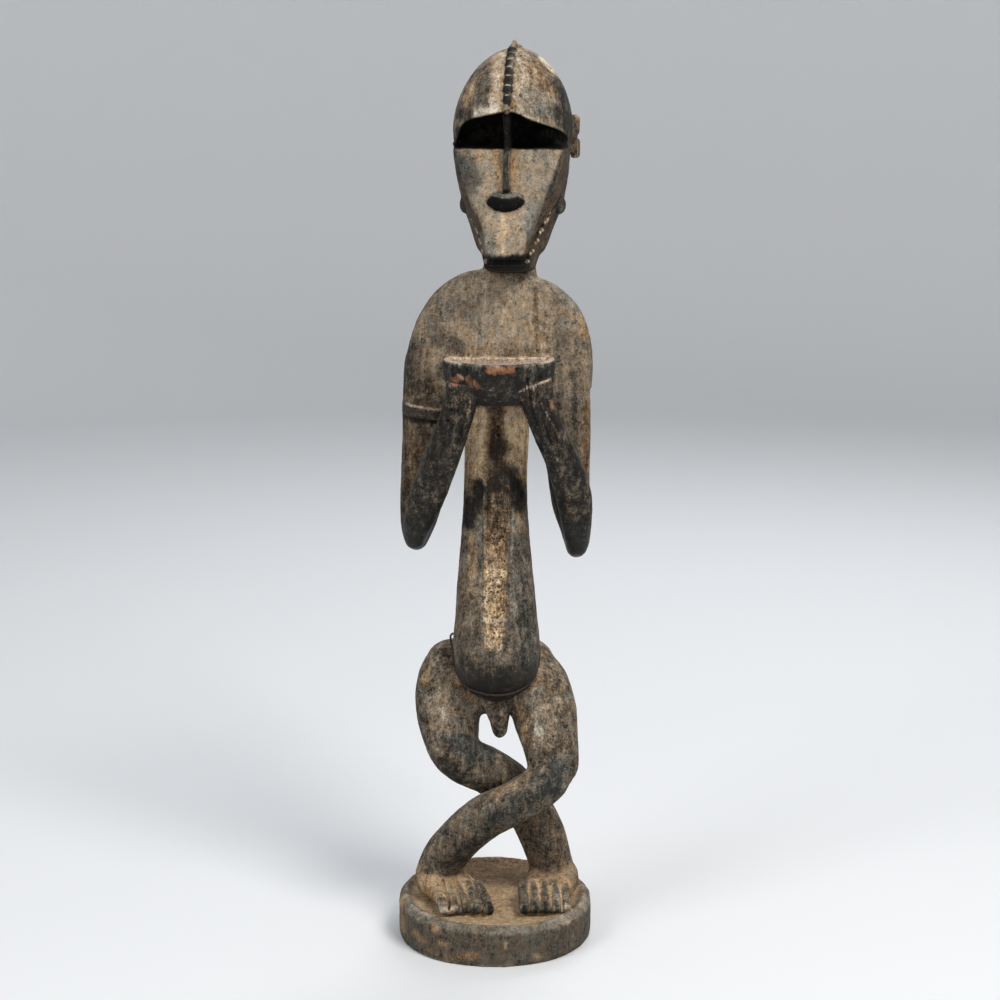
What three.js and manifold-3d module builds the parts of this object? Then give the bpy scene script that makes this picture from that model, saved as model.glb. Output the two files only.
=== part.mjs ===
// A dark carved wooden figure with a long-muzzled animal head. It stands on crossed, bent legs
// on a round base and holds a bowl against its chest. Head, limbs, bowl and base are one block.
// Millimetres, Z up. The figure faces -Y, and its own right side is at -X. The origin is the
// centre of the base's underside.

import * as THREE from 'three';
import { mergeVertices } from 'three/addons/utils/BufferGeometryUtils.js';
import Module from 'manifold-3d';

const wasm = await Module();
wasm.setup();

// Driving dimensions: heights above the ground
const level = {
  baseTop: 31,
  toe: 34,
  bellyBottom: 202,
  belly: 240,
  stripTop: 360,
  elbow: 311,
  armpit: 425,
  armRing: 421,
  bowlBottom: 432,
  bowlRim: 466,
  shoulderTop: 528,
  chin: 531,
  mouth: 545,
  jawBoss: 578,
  nostril: 586,
  faceTop: 622,
  browPeak: 650,
  skull: 635,
  crown: 697,
};

// Driving dimensions: half widths, radii and wall sizes
const baseHalfWidth = 77.4;
const baseHalfDepth = 80.5;
const baseDish = 2.5;
const bodyMiddle = 2.2;
const armMiddle = 1.3;
const shoulderHalf = 72.5;
const shoulderDepth = 23;
const bellyHalf = 34;
const stripRaise = 1.5;
const bowlRadius = 43;
const bowlWall = 6;
const bowlHollow = 17;
const bowlBack = -25;
const bowlMiddle = bodyMiddle + 0.3;
const fingerHalf = 3.3;
const toeHalf = 4.2;
const ringRaise = 2.4;
const ringHeight = 7;
const headMiddle = 13.3;
const headBack = 6;
const headTurn = THREE.MathUtils.degToRad(-6);
const skullHalf = 44.7;
const skullDepth = 46;
const beadPitch = 7;
const toothCount = 6;
const cordRadius = 0.9;
const touchGap = 0.35;

// Axes that a body's section can face
const forward = new THREE.Vector3(0, -1, 0);
const upward = new THREE.Vector3(0, 0, 1);

// A closed three.js geometry as a solid that can be joined and cut
function solidFrom(geometry) {
  geometry.deleteAttribute('normal');
  geometry.deleteAttribute('uv');
  const merged = mergeVertices(geometry, 1e-4);
  return new wasm.Manifold(new wasm.Mesh({
    numProp: 3,
    vertProperties: new Float32Array(merged.attributes.position.array),
    triVerts: new Uint32Array(merged.index.array),
  }));
}

// The outer shell alone, so that no closed pocket stays inside the wood
function outerShell(solid) {
  const shells = solid.decompose();
  return shells.reduce((outer, shell) => (shell.volume() > outer.volume() ? shell : outer));
}

function joined(solids) {
  return solids.reduce((whole, piece) => whole.add(piece));
}

// How far a round outline of the given power reaches at an angle: 2 is a circle, more is boxier
function roundness(angle, power) {
  return (Math.abs(Math.cos(angle)) ** power + Math.abs(Math.sin(angle)) ** power) ** (-1 / power);
}

// A closed body along a spine. Each station is [x, y, z, half width, half depth, narrowing], and
// narrowing draws the front of the section in. The ends are domes of the two given lengths.
function swept(stations, { sides = 14, rings = 10, domes = [10, 10], power = 2, faces = forward } = {}) {
  const spine = new THREE.CatmullRomCurve3(
    stations.map(([x, y, z]) => new THREE.Vector3(x, y, z)), false, 'catmullrom', 0.5);
  const sizes = new THREE.CatmullRomCurve3(
    stations.map(([, , , wide, deep, narrow = 0]) => new THREE.Vector3(wide, deep, narrow)),
    false, 'catmullrom', 0.5);
  const length = spine.getLength();
  const domeRings = rings > 7 ? 3 : 2;
  const geometry = new THREE.SphereGeometry(1, sides, rings);
  const position = geometry.attributes.position;
  const direction = new THREE.Vector3();
  for (let i = 0; i < position.count; i += 1) {
    direction.fromBufferAttribute(position, i);
    const ring = Math.round(Math.acos(THREE.MathUtils.clamp(direction.y, -1, 1)) / Math.PI * rings);
    const [along, swell] = ringPlace(ring, rings, domeRings, domes[0] / length, domes[1] / length);
    const t = spine.getUtoTmapping(along);
    const tangent = spine.getTangent(t);
    const front = faces.clone().addScaledVector(tangent, -faces.dot(tangent)).normalize();
    const side = new THREE.Vector3().crossVectors(front, tangent);
    const [wide, deep, narrow] = sizes.getPoint(t).toArray();
    const around = Math.atan2(direction.z, direction.x);
    const reach = roundness(around, power);
    const place = spine.getPoint(t);
    const frontward = Math.sin(around) * reach;
    place.addScaledVector(side, swell * wide * Math.cos(around) * reach * (1 - narrow * frontward));
    place.addScaledVector(front, swell * deep * frontward);
    position.setXYZ(i, place.x, place.y, place.z);
  }
  return solidFrom(geometry);
}

// Where a ring of a swept body lies along its spine, and how much of the full section it has
function ringPlace(ring, rings, domeRings, startDome, endDome) {
  if (ring < domeRings) {
    const angle = ring / domeRings * Math.PI / 2;
    return [startDome * (1 - Math.cos(angle)), Math.sin(angle)];
  }
  if (ring > rings - domeRings) {
    const angle = (rings - ring) / domeRings * Math.PI / 2;
    return [1 - endDome * (1 - Math.cos(angle)), Math.sin(angle)];
  }
  const share = (ring - domeRings) / (rings - 2 * domeRings);
  return [startDome + share * (1 - startDome - endDome), 1];
}

// An ellipsoid with its centre and its three half axes
function egg([x, y, z], [a, b, c], sides = 14, rings = 9, lean = 0) {
  const geometry = new THREE.SphereGeometry(1, sides, rings);
  geometry.rotateX(Math.PI / 2);
  geometry.scale(a, b, c);
  geometry.rotateY(lean);
  geometry.translate(x, y, z);
  return solidFrom(geometry);
}

function block(from, to) {
  const size = to.map((value, axis) => value - from[axis]);
  const geometry = new THREE.BoxGeometry(...size);
  geometry.translate(...from.map((value, axis) => value + size[axis] / 2));
  return solidFrom(geometry);
}

// A flat outline in the XZ plane, given as a THREE.Shape, made solid from yFrom back to yTo
function slab(shape, yFrom, yTo, curveSegments = 10) {
  const geometry = new THREE.ExtrudeGeometry(shape, {
    depth: yTo - yFrom,
    bevelEnabled: false,
    curveSegments,
  });
  geometry.rotateX(Math.PI / 2);
  geometry.translate(0, yTo, 0);
  return solidFrom(geometry);
}

// The round base: a thick disc with worn edges and a shallow dish in its top
function base() {
  const edge = 3;
  const profile = [
    [0, 0],
    [baseHalfWidth - edge * 0.6, 0],
    [baseHalfWidth, edge],
    [baseHalfWidth, level.baseTop - edge * 1.6],
    [baseHalfWidth - edge * 0.5, level.baseTop - edge * 0.5],
    [baseHalfWidth - edge * 1.6, level.baseTop],
    [baseHalfWidth - edge * 4, level.baseTop - baseDish],
    [0, level.baseTop - baseDish],
  ];
  const geometry = new THREE.LatheGeometry(profile.map(([r, z]) => new THREE.Vector2(r, z)), 32);
  geometry.rotateX(Math.PI / 2);
  const position = geometry.attributes.position;
  for (let i = 0; i < position.count; i += 1) {
    const [x, y] = [position.getX(i), position.getY(i)];
    const swell = roundness(Math.atan2(y, x), 2.15);
    position.setXY(i, x * swell, y * swell * baseHalfDepth / baseHalfWidth);
  }
  return solidFrom(geometry);
}

// One foot: an instep from the ankle to the toe roots, and five toes that fan out from it
function foot([ankleX, ankleY], toeRoots, toeTips) {
  const rootX = (toeRoots[0][0] + toeRoots[1][0]) / 2;
  const rootY = (toeRoots[0][1] + toeRoots[1][1]) / 2;
  const rootHalf = Math.abs(toeRoots[1][0] - toeRoots[0][0]) / 2 + toeHalf * 0.7;
  const instep = swept([
    [ankleX, ankleY + 17, 38, 18, 10],
    [ankleX, ankleY, 43, 21, 13],
    [(ankleX + rootX) / 2, (ankleY + rootY) / 2, 39, 20.5, 9.5],
    [rootX, rootY, 34, rootHalf, 5.5],
    [rootX, rootY - 9, 32, rootHalf * 0.95, 3.6],
  ], { sides: 12, rings: 9, domes: [12, 4], faces: upward });
  const toes = [0, 1, 2, 3, 4].map((index) => {
    const share = index / 4;
    const root = toeRoots[0].map((value, axis) => value + share * (toeRoots[1][axis] - value));
    const tip = toeTips[0].map((value, axis) => value + share * (toeTips[1][axis] - value));
    const bow = 3.5 * Math.sin(Math.PI * share);
    const thick = toeHalf + (index === 4 ? 0.9 : 0);
    return swept([
      [root[0], root[1] + 5, level.toe + 2.4, thick * 0.9, thick * 0.9],
      [(root[0] + tip[0]) / 2, (root[1] + tip[1] - bow) / 2, level.toe + 0.6, thick, thick],
      [tip[0], tip[1] - bow, level.toe - 1.4, thick, thick * 0.85],
    ], { sides: 6, rings: 5, domes: [3, 3.5], faces: upward });
  });
  return joined([instep, ...toes]);
}

// The figure's left leg comes down at +X, turns at the knee and crosses in front to -X
function leftLeg() {
  const thigh = swept([
    [27, 18, 234, 12, 16],
    [32, 16, 217, 17.5, 21],
    [37, 11, 202, 23, 25],
    [39.6, 1, 180, 25.6, 25],
    [43, -10, 156, 23.2, 23],
    [42.5, -18, 134, 21, 21],
    [38, -21, 122, 16, 17],
  ], { sides: 11, rings: 11, domes: [13, 17], power: 2.2 });
  const shin = swept([
    [52.5, -22, 142.5, 14, 16],
    [39, -25, 128.5, 18.5, 19],
    [18, -27, 114, 19, 18.5],
    [-8, -24, 101, 18.3, 18],
    [-30, -16, 80, 18, 17.5],
    [-42, -7, 60, 19, 17],
    [-45, -2, 40, 20.5, 17],
  ], { sides: 12, rings: 11, domes: [17, 7], power: 2.15 });
  return joined([thigh, shin]);
}

// The figure's right leg comes down at -X and crosses behind to +X
function rightLeg() {
  const thigh = swept([
    [-29, 18, 238, 12, 16],
    [-34, 16, 221, 20.5, 21],
    [-36.5, 10, 202, 25.5, 25],
    [-37, 1, 180, 25.4, 24.5],
    [-34, -7, 158, 22.5, 22],
    [-28.5, -11, 141, 19.5, 20],
    [-23, -12, 128, 15, 16],
  ], { sides: 12, rings: 11, domes: [14, 15], power: 2.2 });
  const shin = swept([
    [-42, -11, 154, 14, 16],
    [-26, -8, 142.5, 18.5, 18.5],
    [-6, 2, 133, 18.2, 18],
    [15, 10, 118.5, 18, 18],
    [30, 11, 97, 18.5, 18],
    [39, 8, 74, 19, 17.5],
    [44.5, 5, 54, 18, 17],
    [47, 5, 38, 19.5, 17],
  ], { sides: 12, rings: 11, domes: [16, 7], power: 2.15 });
  return joined([thigh, shin]);
}

// Hips and buttocks behind the belly, and the small peg between the thighs
function hips() {
  const pelvis = swept([
    [-37, 19, 214, 18, 18],
    [-20, 20, 215, 21, 21],
    [24, 20, 215, 21, 21],
    [38, 19, 211, 17, 18],
  ], { sides: 12, rings: 8, domes: [14, 14], power: 2.2 });
  const crotch = egg([2, 4, 197], [32, 24, 19], 12, 6);
  const buttocks = [-1, 1].map((side) => egg([2 + side * 20, 29, 207], [23, 20, 27], 10, 7));
  const peg = swept([
    [3.5, -6, 207, 13, 10],
    [4, -14, 193, 11, 9],
    [4, -18, 181, 7.2, 6.8],
    [3.6, -20, 165, 5, 5],
  ], { sides: 8, rings: 8, domes: [5, 6] });
  return joined([pelvis, crotch, ...buttocks, peg]);
}

// The torso column, which swells into the long hanging belly. More makes the same form larger.
function torso(more = 0) {
  const middle = bodyMiddle - 2.2;
  return swept([
    [2, -23, level.bellyBottom - more, bellyHalf * 0.7 + more, 21 + more],
    [1.6, -19, 218, bellyHalf * 0.93 + more, 29 + more],
    [1, -15, level.belly, bellyHalf + more, 33 + more],
    [middle + 0.6, -12, 264, 32.3 + more, 31 + more],
    [middle, -7, 294, 30 + more, 27.5 + more],
    [middle, -2, 328, 27 + more, 25 + more],
    [middle + 0.5, 2, 362, 25.2 + more, 24 + more],
    [middle + 1.3, 4, 396, 25.2 + more, 23.5 + more],
    [middle + 1.3, 5, 430, 26.5 + more, 23 + more],
    [middle + 1.3, 5, 462, 29 + more, 22 + more],
  ], { sides: 15, rings: 12, domes: [24, 6], power: 2.15 });
}

// The raised strip of bare wood down the belly, bounded by two straight edges
function bellyStrip() {
  const shape = new THREE.Shape();
  shape.moveTo(-10.5, level.stripTop);
  shape.lineTo(12.5, level.stripTop);
  shape.lineTo(7, level.belly + 4);
  shape.lineTo(-7, level.belly + 4);
  shape.closePath();
  return torso(stripRaise).intersect(slab(shape, -80, -8));
}

// The shoulders and chest: an arch with a full, slightly boxy section, drawn in at the armpits
function shoulders() {
  const widest = 444;
  const span = level.shoulderTop - widest;
  const arch = (rise) => shoulderHalf * (1 - rise ** 2.4) ** (1 / 2.8);
  const stations = [0, 0.15, 0.3, 0.45, 0.6, 0.73, 0.84, 0.92, 0.97].map((rise) => {
    const deep = shoulderDepth * (1 - 0.45 * rise ** 3);
    return [bodyMiddle + 0.6 + 3.2 * rise, 4 + 3 * rise, widest + span * rise, arch(rise), deep];
  });
  const armpits = [bodyMiddle, 4.5, level.armpit, shoulderHalf * 0.97, shoulderDepth * 0.8];
  return swept([armpits, ...stations], { sides: 18, rings: 11, domes: [6, 2.5], power: 2.5 });
}

// One arm: the upper arm hangs to a pointed elbow, and the forearm rises in front of it
function upperArm(side, drop, more = 0) {
  const x = (out) => armMiddle + side * out;
  return swept([
    [x(47), 4, 462, 18 + more, 11 + more],
    [x(52.3), 4, 437, 20 + more, 19 + more],
    [x(53.6), 4.5, 405, 19.8 + more, 20 + more],
    [x(55), 6, 374, 18.8 + more, 17.5 + more],
    [x(57), 6, 348, 17.2 + more, 16.5 + more],
    [x(60), 3, 328 - drop / 2, 14 + more, 14 + more],
    [x(62.5), 2, level.elbow - drop, 8 + more, 10 + more],
  ], { sides: 11, rings: 10, domes: [8, 7], power: 2.3 });
}

function forearm(side, drop) {
  const x = (out) => armMiddle + side * out;
  return swept([
    [x(63.5), -1, level.elbow + 3 - drop, 7.5, 10],
    [x(61.5 + drop / 4), -7, 332 - drop, 11.5, 14],
    [x(54.6 + drop / 2), -18, 358, 13.5, 14],
    [x(44 + drop * 0.7), -30, 388, 14, 13],
    [x(36.5 + drop / 3), -41, 415, 13.6, 11],
    [x(32.5), -45, 433, 14.6, 9.5],
    [x(30.5), -45, 448, 14.8, 10],
  ], { sides: 11, rings: 11, domes: [8, 5], power: 2.3 });
}

// Four fingers laid side by side up the hand. Their ends follow the round side of the bowl.
function fingers(side) {
  return [0, 1, 2, 3].map((index) => {
    const outward = (index - 1.5) * fingerHalf * 2.1;
    const tipX = armMiddle + side * (29.5 + outward * 1.05);
    const grip = bowlRadius + 0.5;
    const tipY = bowlBack - Math.sqrt(grip ** 2 - (tipX - bowlMiddle) ** 2);
    const rootY = -47.5 + outward * 0.35;
    const tipZ = 450 + outward * 0.35;
    return swept([
      [armMiddle + side * (36 + outward * 0.9), rootY, 418, fingerHalf, 4],
      [armMiddle + side * (32.5 + outward), (rootY + tipY) / 2 - 2, 435, fingerHalf, 4],
      [tipX, tipY, tipZ, fingerHalf, 3.6],
    ], { sides: 6, rings: 5, domes: [5, 3] });
  });
}

// A raised ring round the right upper arm
function armRing() {
  const band = block([-100, -60, level.armRing - ringHeight / 2], [-10, 60, level.armRing + ringHeight / 2]);
  return upperArm(-1, 0, ringRaise).intersect(band);
}

// The bowl is half round, with its flat side against the chest. Its outside and its hollow are
// turned profiles.
function turned(profile, segments) {
  const geometry = new THREE.LatheGeometry(profile.map(([r, z]) => new THREE.Vector2(r, z)), segments);
  geometry.rotateX(Math.PI / 2);
  geometry.translate(bowlMiddle, bowlBack, 0);
  return solidFrom(geometry);
}

function bowlOutside() {
  const bottom = level.bowlBottom;
  const rim = level.bowlRim;
  return turned([
    [0, bottom],
    [bowlRadius * 0.62, bottom],
    [bowlRadius * 0.82, bottom + 5],
    [bowlRadius * 0.94, bottom + 13],
    [bowlRadius * 0.99, bottom + 22],
    [bowlRadius, rim - 3],
    [bowlRadius - 1, rim],
    [0, rim],
  ], 24);
}

function bowlInside() {
  const mouth = bowlRadius - bowlWall;
  const steps = 4;
  const profile = [[0, level.bowlRim - bowlHollow]];
  for (let step = 1; step <= steps; step += 1) {
    const angle = step / steps * Math.PI / 2;
    profile.push([mouth * Math.sin(angle), level.bowlRim - bowlHollow * Math.cos(angle)]);
  }
  profile.push([mouth + 1, level.bowlRim + 8]);
  profile.push([0, level.bowlRim + 8]);
  const front = block([-80, -120, 400], [80, bowlBack + 1, 500]);
  return turned(profile, 24).intersect(front);
}

// The head is modelled straight, round its own axis, and then turned and moved into place
function placedHead(solid) {
  const degrees = THREE.MathUtils.radToDeg(headTurn);
  return solid.rotate([0, 0, degrees]).translate([headMiddle, headBack, 0]);
}

function skull() {
  const height = level.crown - level.skull;
  const dome = egg([0.7, 0, level.skull], [skullHalf, skullDepth, height], 18, 11, 0.025);
  const nape = swept([
    [0, 8, 650, 38, 36],
    [0, 8, 615, 41.5, 36],
    [0, 9, 585, 34, 30],
    [-0.5, 9, 555, 22, 21],
    [-0.5, 7, 515, 20, 20],
  ], { sides: 12, rings: 9, domes: [10, 4] });
  const belowBrow = block([-80, -90, 480], [80, -16, level.faceTop]);
  return joined([dome, nape]).subtract(belowBrow);
}

// The flat face slopes forward and narrows to the mouth. Its front is narrower than its back.
function muzzle() {
  return swept([
    [0, -4, level.faceTop + 1, 43.8, 26, 0],
    [0, -9, 606, 42, 28, 0.02],
    [0, -15, 588, 38, 30, 0.05],
    [0, -23, 568, 30.5, 31, 0.11],
    [0, -31, 550, 22.5, 30.5, 0.2],
    [0, -34, level.chin, 17.5, 27, 0.12],
  ], { sides: 16, rings: 9, domes: [1.2, 3], power: 5 });
}

// The deep hollow under the brow, open to the front, with the skull left round it as a visor
function eyeHollow() {
  const wide = skullHalf - 1.5;
  const shape = new THREE.Shape();
  shape.moveTo(-wide - 8, level.faceTop + 0.5);
  shape.lineTo(-wide + 2, level.faceTop + 6);
  shape.quadraticCurveTo(-wide * 0.72, level.browPeak - 5, 0, level.browPeak);
  shape.quadraticCurveTo(wide * 0.72, level.browPeak - 5, wide - 2, level.faceTop + 6);
  shape.lineTo(wide + 8, level.faceTop + 0.5);
  shape.closePath();
  return slab(shape, -90, -14);
}

function nose() {
  const bridge = swept([
    [0, -38, 654, 3.2, 6],
    [0, -35, 630, 3, 7],
    [0, -40, 605, 2.9, 5],
    [0, -46, 588, 3.2, 5],
  ], { sides: 6, rings: 7, domes: [3, 3], power: 3 });
  const nostrils = swept([
    [-11, -47.5, level.nostril + 2.5, 4.5, 5],
    [-7, -49.5, level.nostril, 6, 6.5],
    [0, -50, level.nostril - 2.5, 5.6, 6.2],
    [7, -49.5, level.nostril, 6, 6.5],
    [11, -47.5, level.nostril + 2.5, 4.5, 5],
  ], { sides: 7, rings: 9, domes: [3.5, 3.5] });
  const eyes = [-1, 1].map((side) => egg([side * 25, -14, 633], [8, 5, 7.5], 8, 5));
  return joined([bridge, nostrils, ...eyes]);
}

// The mouth is a slit that runs round the front and up both sides of the muzzle
function mouthSlit() {
  const slit = new THREE.Shape();
  slit.moveTo(-72, level.mouth + 1.6);
  slit.lineTo(-48, level.mouth + 0.6);
  slit.lineTo(-12, 583);
  slit.lineTo(-14, 587);
  slit.lineTo(-48, level.mouth + 4.6);
  slit.lineTo(-72, level.mouth + 4.6);
  slit.closePath();
  const across = slab(slit, -60, 60);
  const turnedSlit = across.rotate([0, 0, 90]);
  const core = muzzle().scale([0.9, 1, 1]).translate([0, 3.2, 0]);
  return turnedSlit.subtract(core);
}

function teeth() {
  const solids = [];
  for (const side of [-1, 1]) {
    for (let index = 0; index < toothCount; index += 1) {
      const share = index / toothCount;
      const y = -50 + share * 30;
      const z = level.mouth + 3.5 + share * 31;
      const x = side * (19.5 + share * 12.5);
      solids.push(egg([x, y, z], [2.4, 1.9, 3.2], 5, 3));
    }
  }
  return joined(solids);
}

function jawBosses() {
  return joined([-1, 1].map((side) => egg([0.8 + side * 35.5, -9, level.jawBoss], [5.5, 7, 8], 8, 5)));
}

// An ear shaped like a figure three. The left one stands out more than the right.
function ear(side, reach) {
  return swept([
    [side * (reach - 13), 19, 643, 4.6, 6],
    [side * (reach - 4), 25, 642, 4.6, 6],
    [side * (reach - 1), 28, 636, 4.6, 5.5],
    [side * (reach - 4.5), 28, 629, 5, 5],
    [side * (reach - 1), 27, 621, 4.6, 5.5],
    [side * (reach - 4), 24, 616, 4.6, 6],
    [side * (reach - 13), 19, 615, 4.6, 6],
  ], { sides: 5, rings: 12, domes: [3, 3] });
}

// A row of beads from the brow to the crown, and a plain ridge that carries on down the back
function crest() {
  const upper = level.crown - level.skull;
  const onSkull = (angle, proud) => [
    0,
    -(skullDepth + proud) * Math.cos(angle),
    level.skull + (upper + proud) * Math.sin(angle),
  ];
  const beads = [];
  let angle = 0.27;
  while (angle < 1.45) {
    const [x, y, z] = onSkull(angle, 0.6);
    beads.push(egg([x + 1.2 + 1.6 * Math.sin(angle), y, z], [3.9, 3.5, 3.9], 6, 3));
    angle += beadPitch / Math.hypot(skullDepth * Math.sin(angle), upper * Math.cos(angle));
  }
  const crown = joined([
    egg([2.6, -3, level.crown - 0.5], [3.6, 3.4, 4], 7, 5),
    egg([5, 3, level.crown - 1], [3.4, 4, 3.6], 7, 5),
  ]);
  const ridge = swept([1.5, 1.9, 2.3, 2.7, 3.05].map((turn) => [...onSkull(turn, -0.4), 3.2, 3]), {
    sides: 6,
    rings: 8,
    domes: [4, 6],
    faces: upward,
  });
  return joined([...beads, crown, ridge]);
}

function head() {
  const carved = joined([skull(), muzzle()]).subtract(eyeHollow()).subtract(mouthSlit());
  const face = joined([carved, nose(), teeth(), jawBosses(), ear(1, 50), ear(-1, 45), crest()]);
  return placedHead(face);
}

// A shallow groove down the spine
function spineGroove() {
  return swept([
    [3, 31.5, 505, 3, 3],
    [2, 29.5, 440, 3, 3],
    [1.5, 27, 380, 2.6, 3],
    [1.2, 24, 310, 2.6, 3],
    [1.2, 21.5, 262, 2, 2.5],
  ], { sides: 5, rings: 7, domes: [10, 10] });
}

// The route of the waist cord, from its knot at the back. It passes over both hips, lies in the
// crease beside the belly and goes under it. At the right hip it hangs slack.
const cordRoute = new THREE.CatmullRomCurve3([
  [4, 17.9, 242.4],
  [-12.5, 16, 242],
  [-26, 6.2, 243],
  [-34.5, -5, 244.5],
  [-32.8, -14.5, 235],
  [-30.6, -22.8, 223.3],
  [-22.6, -30.2, 214],
  [-9, -35, 210],
  [2.5, -36.1, 209.2],
  [14, -34, 210.4],
  [25, -29.8, 214.6],
  [33, -22, 224.2],
  [34.6, -12, 236],
  [30.3, 3, 243],
  [17, 14.5, 242.5],
  [1.3, 18.2, 242.4],
].map(([x, y, z]) => new THREE.Vector3(x, y, z)), false, 'catmullrom', 0.5);

// The cord as one solid: a round tube along its route, closed by a knot that both ends enter
function cord(radius, sides, knot) {
  const section = new THREE.Shape();
  for (let corner = 0; corner < sides; corner += 1) {
    const angle = corner / sides * Math.PI * 2;
    const point = [radius * Math.cos(angle), radius * Math.sin(angle)];
    if (corner === 0) {
      section.moveTo(...point);
    } else {
      section.lineTo(...point);
    }
  }
  section.closePath();
  const tube = new THREE.ExtrudeGeometry(section, {
    steps: 32,
    extrudePath: cordRoute,
    bevelEnabled: false,
  });
  return joined([solidFrom(tube), egg([2.6, 18.4, 242.4], [knot + 1.2, knot, knot], 7, 5)]);
}

function figureSolid() {
  const leftFoot = foot([-43, -4], [[-36, -34], [-15, -33]], [[-34, -49], [-3, -52]]);
  const rightFoot = foot([47, 2], [[55, -31], [29, -34]], [[56, -48], [24, -52]]);
  const masses = joined([
    base(),
    leftFoot,
    rightFoot,
    leftLeg(),
    rightLeg(),
    hips(),
    torso(),
    bellyStrip(),
    shoulders(),
    upperArm(1, 6),
    upperArm(-1, 0),
    forearm(1, 6),
    forearm(-1, 0),
    armRing(),
    bowlOutside(),
  ]);
  const cordGroove = cord(cordRadius + touchGap, 5, cordRadius * 2.2 + touchGap);
  const hollowed = masses.subtract(bowlInside()).subtract(spineGroove()).subtract(cordGroove);
  return outerShell(joined([hollowed, ...fingers(-1), ...fingers(1), head()]));
}

function meshFrom(name, geometry, color, roughness) {
  const mesh = new THREE.Mesh(
    geometry,
    new THREE.MeshStandardMaterial({ color, roughness, metalness: 0, flatShading: true }));
  mesh.name = name;
  return mesh;
}

function geometryFrom(solid) {
  const { numProp, vertProperties, triVerts } = solid.getMesh();
  const geometry = new THREE.BufferGeometry();
  const vertexCount = vertProperties.length / numProp;
  const positions = new Float32Array(vertexCount * 3);
  for (let i = 0; i < vertexCount; i += 1) {
    positions.set(vertProperties.subarray(i * numProp, i * numProp + 3), i * 3);
  }
  geometry.setAttribute('position', new THREE.BufferAttribute(positions, 3));
  geometry.setIndex(new THREE.BufferAttribute(new Uint32Array(triVerts), 1));
  return geometry;
}

const group = new THREE.Group();
group.add(meshFrom('figure', geometryFrom(figureSolid()), 0x55483a, 0.75));
group.add(meshFrom('waist_cord', geometryFrom(cord(cordRadius, 5, cordRadius * 2.2)), 0x2e2822, 0.9));

export default group;
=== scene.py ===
# A dark carved wooden figure with an animal's head that holds a bowl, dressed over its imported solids
import bpy
import math
import numpy as np
import openvdb as vdb
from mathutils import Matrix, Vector


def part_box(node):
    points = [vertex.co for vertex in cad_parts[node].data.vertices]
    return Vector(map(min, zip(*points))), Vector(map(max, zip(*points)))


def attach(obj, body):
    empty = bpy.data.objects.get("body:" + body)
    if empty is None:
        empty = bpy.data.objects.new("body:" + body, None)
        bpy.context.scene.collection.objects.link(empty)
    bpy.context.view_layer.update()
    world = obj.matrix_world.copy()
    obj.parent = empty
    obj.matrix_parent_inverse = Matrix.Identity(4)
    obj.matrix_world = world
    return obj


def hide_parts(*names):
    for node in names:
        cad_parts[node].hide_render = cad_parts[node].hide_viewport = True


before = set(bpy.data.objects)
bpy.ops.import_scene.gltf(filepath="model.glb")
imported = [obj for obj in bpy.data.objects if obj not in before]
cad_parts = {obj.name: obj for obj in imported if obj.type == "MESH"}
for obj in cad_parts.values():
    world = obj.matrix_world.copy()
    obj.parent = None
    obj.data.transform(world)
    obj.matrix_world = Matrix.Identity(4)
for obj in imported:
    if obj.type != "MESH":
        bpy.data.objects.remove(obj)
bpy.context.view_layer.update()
lowCorner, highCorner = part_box("figure")

# The carving is worked out in millimetres, and one of them is this many metres in the frame
carving = {
    "height": 700.9,
    "voxel": 0.9,   # the grain that the wood is cut from, in mm
    "band": 9.0,                           # how far from a surface a distance is kept, in mm
    "faces": 190000,
    "seed": 7,
    "dressing": 0.3,                       # what the last smoothing takes off all over, in mm
}
mm = (highCorner[2] - lowCorner[2]) / carving["height"]
voxel = carving["voxel"]
band = carving["band"]
print("frame loaded, one millimetre is", round(mm, 6))


def intoScene(name, data):
    # An object with the given data, put into the scene
    made = bpy.data.objects.new(name, data)
    bpy.context.scene.collection.objects.link(made)
    return made


# Camera and light

cameraSettings = {
    "place": (4, -1745, 700),     # mm
    "downwards": 11.30,           # degrees
    "lens": 82.55,                # mm
    "sensor": 36,                 # mm
    "farthest": 20,               # m, as far as it sees
}
cameraData = bpy.data.cameras.new("studioCamera")
cameraData.lens = cameraSettings["lens"]
cameraData.sensor_width = cameraSettings["sensor"]
cameraData.clip_end = cameraSettings["farthest"]
camera = intoScene("studioCamera", cameraData)
camera.location = [value * mm for value in cameraSettings["place"]]
camera.rotation_euler = (math.radians(90 - cameraSettings["downwards"]), 0, 0)
bpy.context.scene.camera = camera

# Soft boxes, as over a still-life table: a large one high on the right, a second on the left and a
# third behind. Each has a place, an aim, a width with a height, all in metres, watts and a colour.
lightSettings = {
    "keyBox": ((1.0, -1.3, 2.0), (0, 0, 0.38), (0.9, 0.9), 38, (1.0, 0.98, 0.95)),
    "fillBox": ((-1.35, -1.25, 1.6), (0, 0, 0.38), (0.9, 1.1), 15, (0.97, 0.98, 1.0)),
    "rimBox": ((0.5, 1.5, 1.6), (0, 0, 0.45), (1.4, 0.8), 14, (0.95, 0.97, 1.0)),
}
roomLight = {
    "colour": (0.90, 0.94, 1.0, 1),
    "strength": 0.30,
}


def areaLight(name, place, aim, size, watts, colour):
    data = bpy.data.lights.new(name, "AREA")
    data.shape = "RECTANGLE"
    data.size, data.size_y = size
    data.energy = watts
    data.color = colour
    light = intoScene(name, data)
    light.location = place
    light.rotation_euler = (Vector(aim) - Vector(place)).to_track_quat("-Z", "Y").to_euler()


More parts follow.
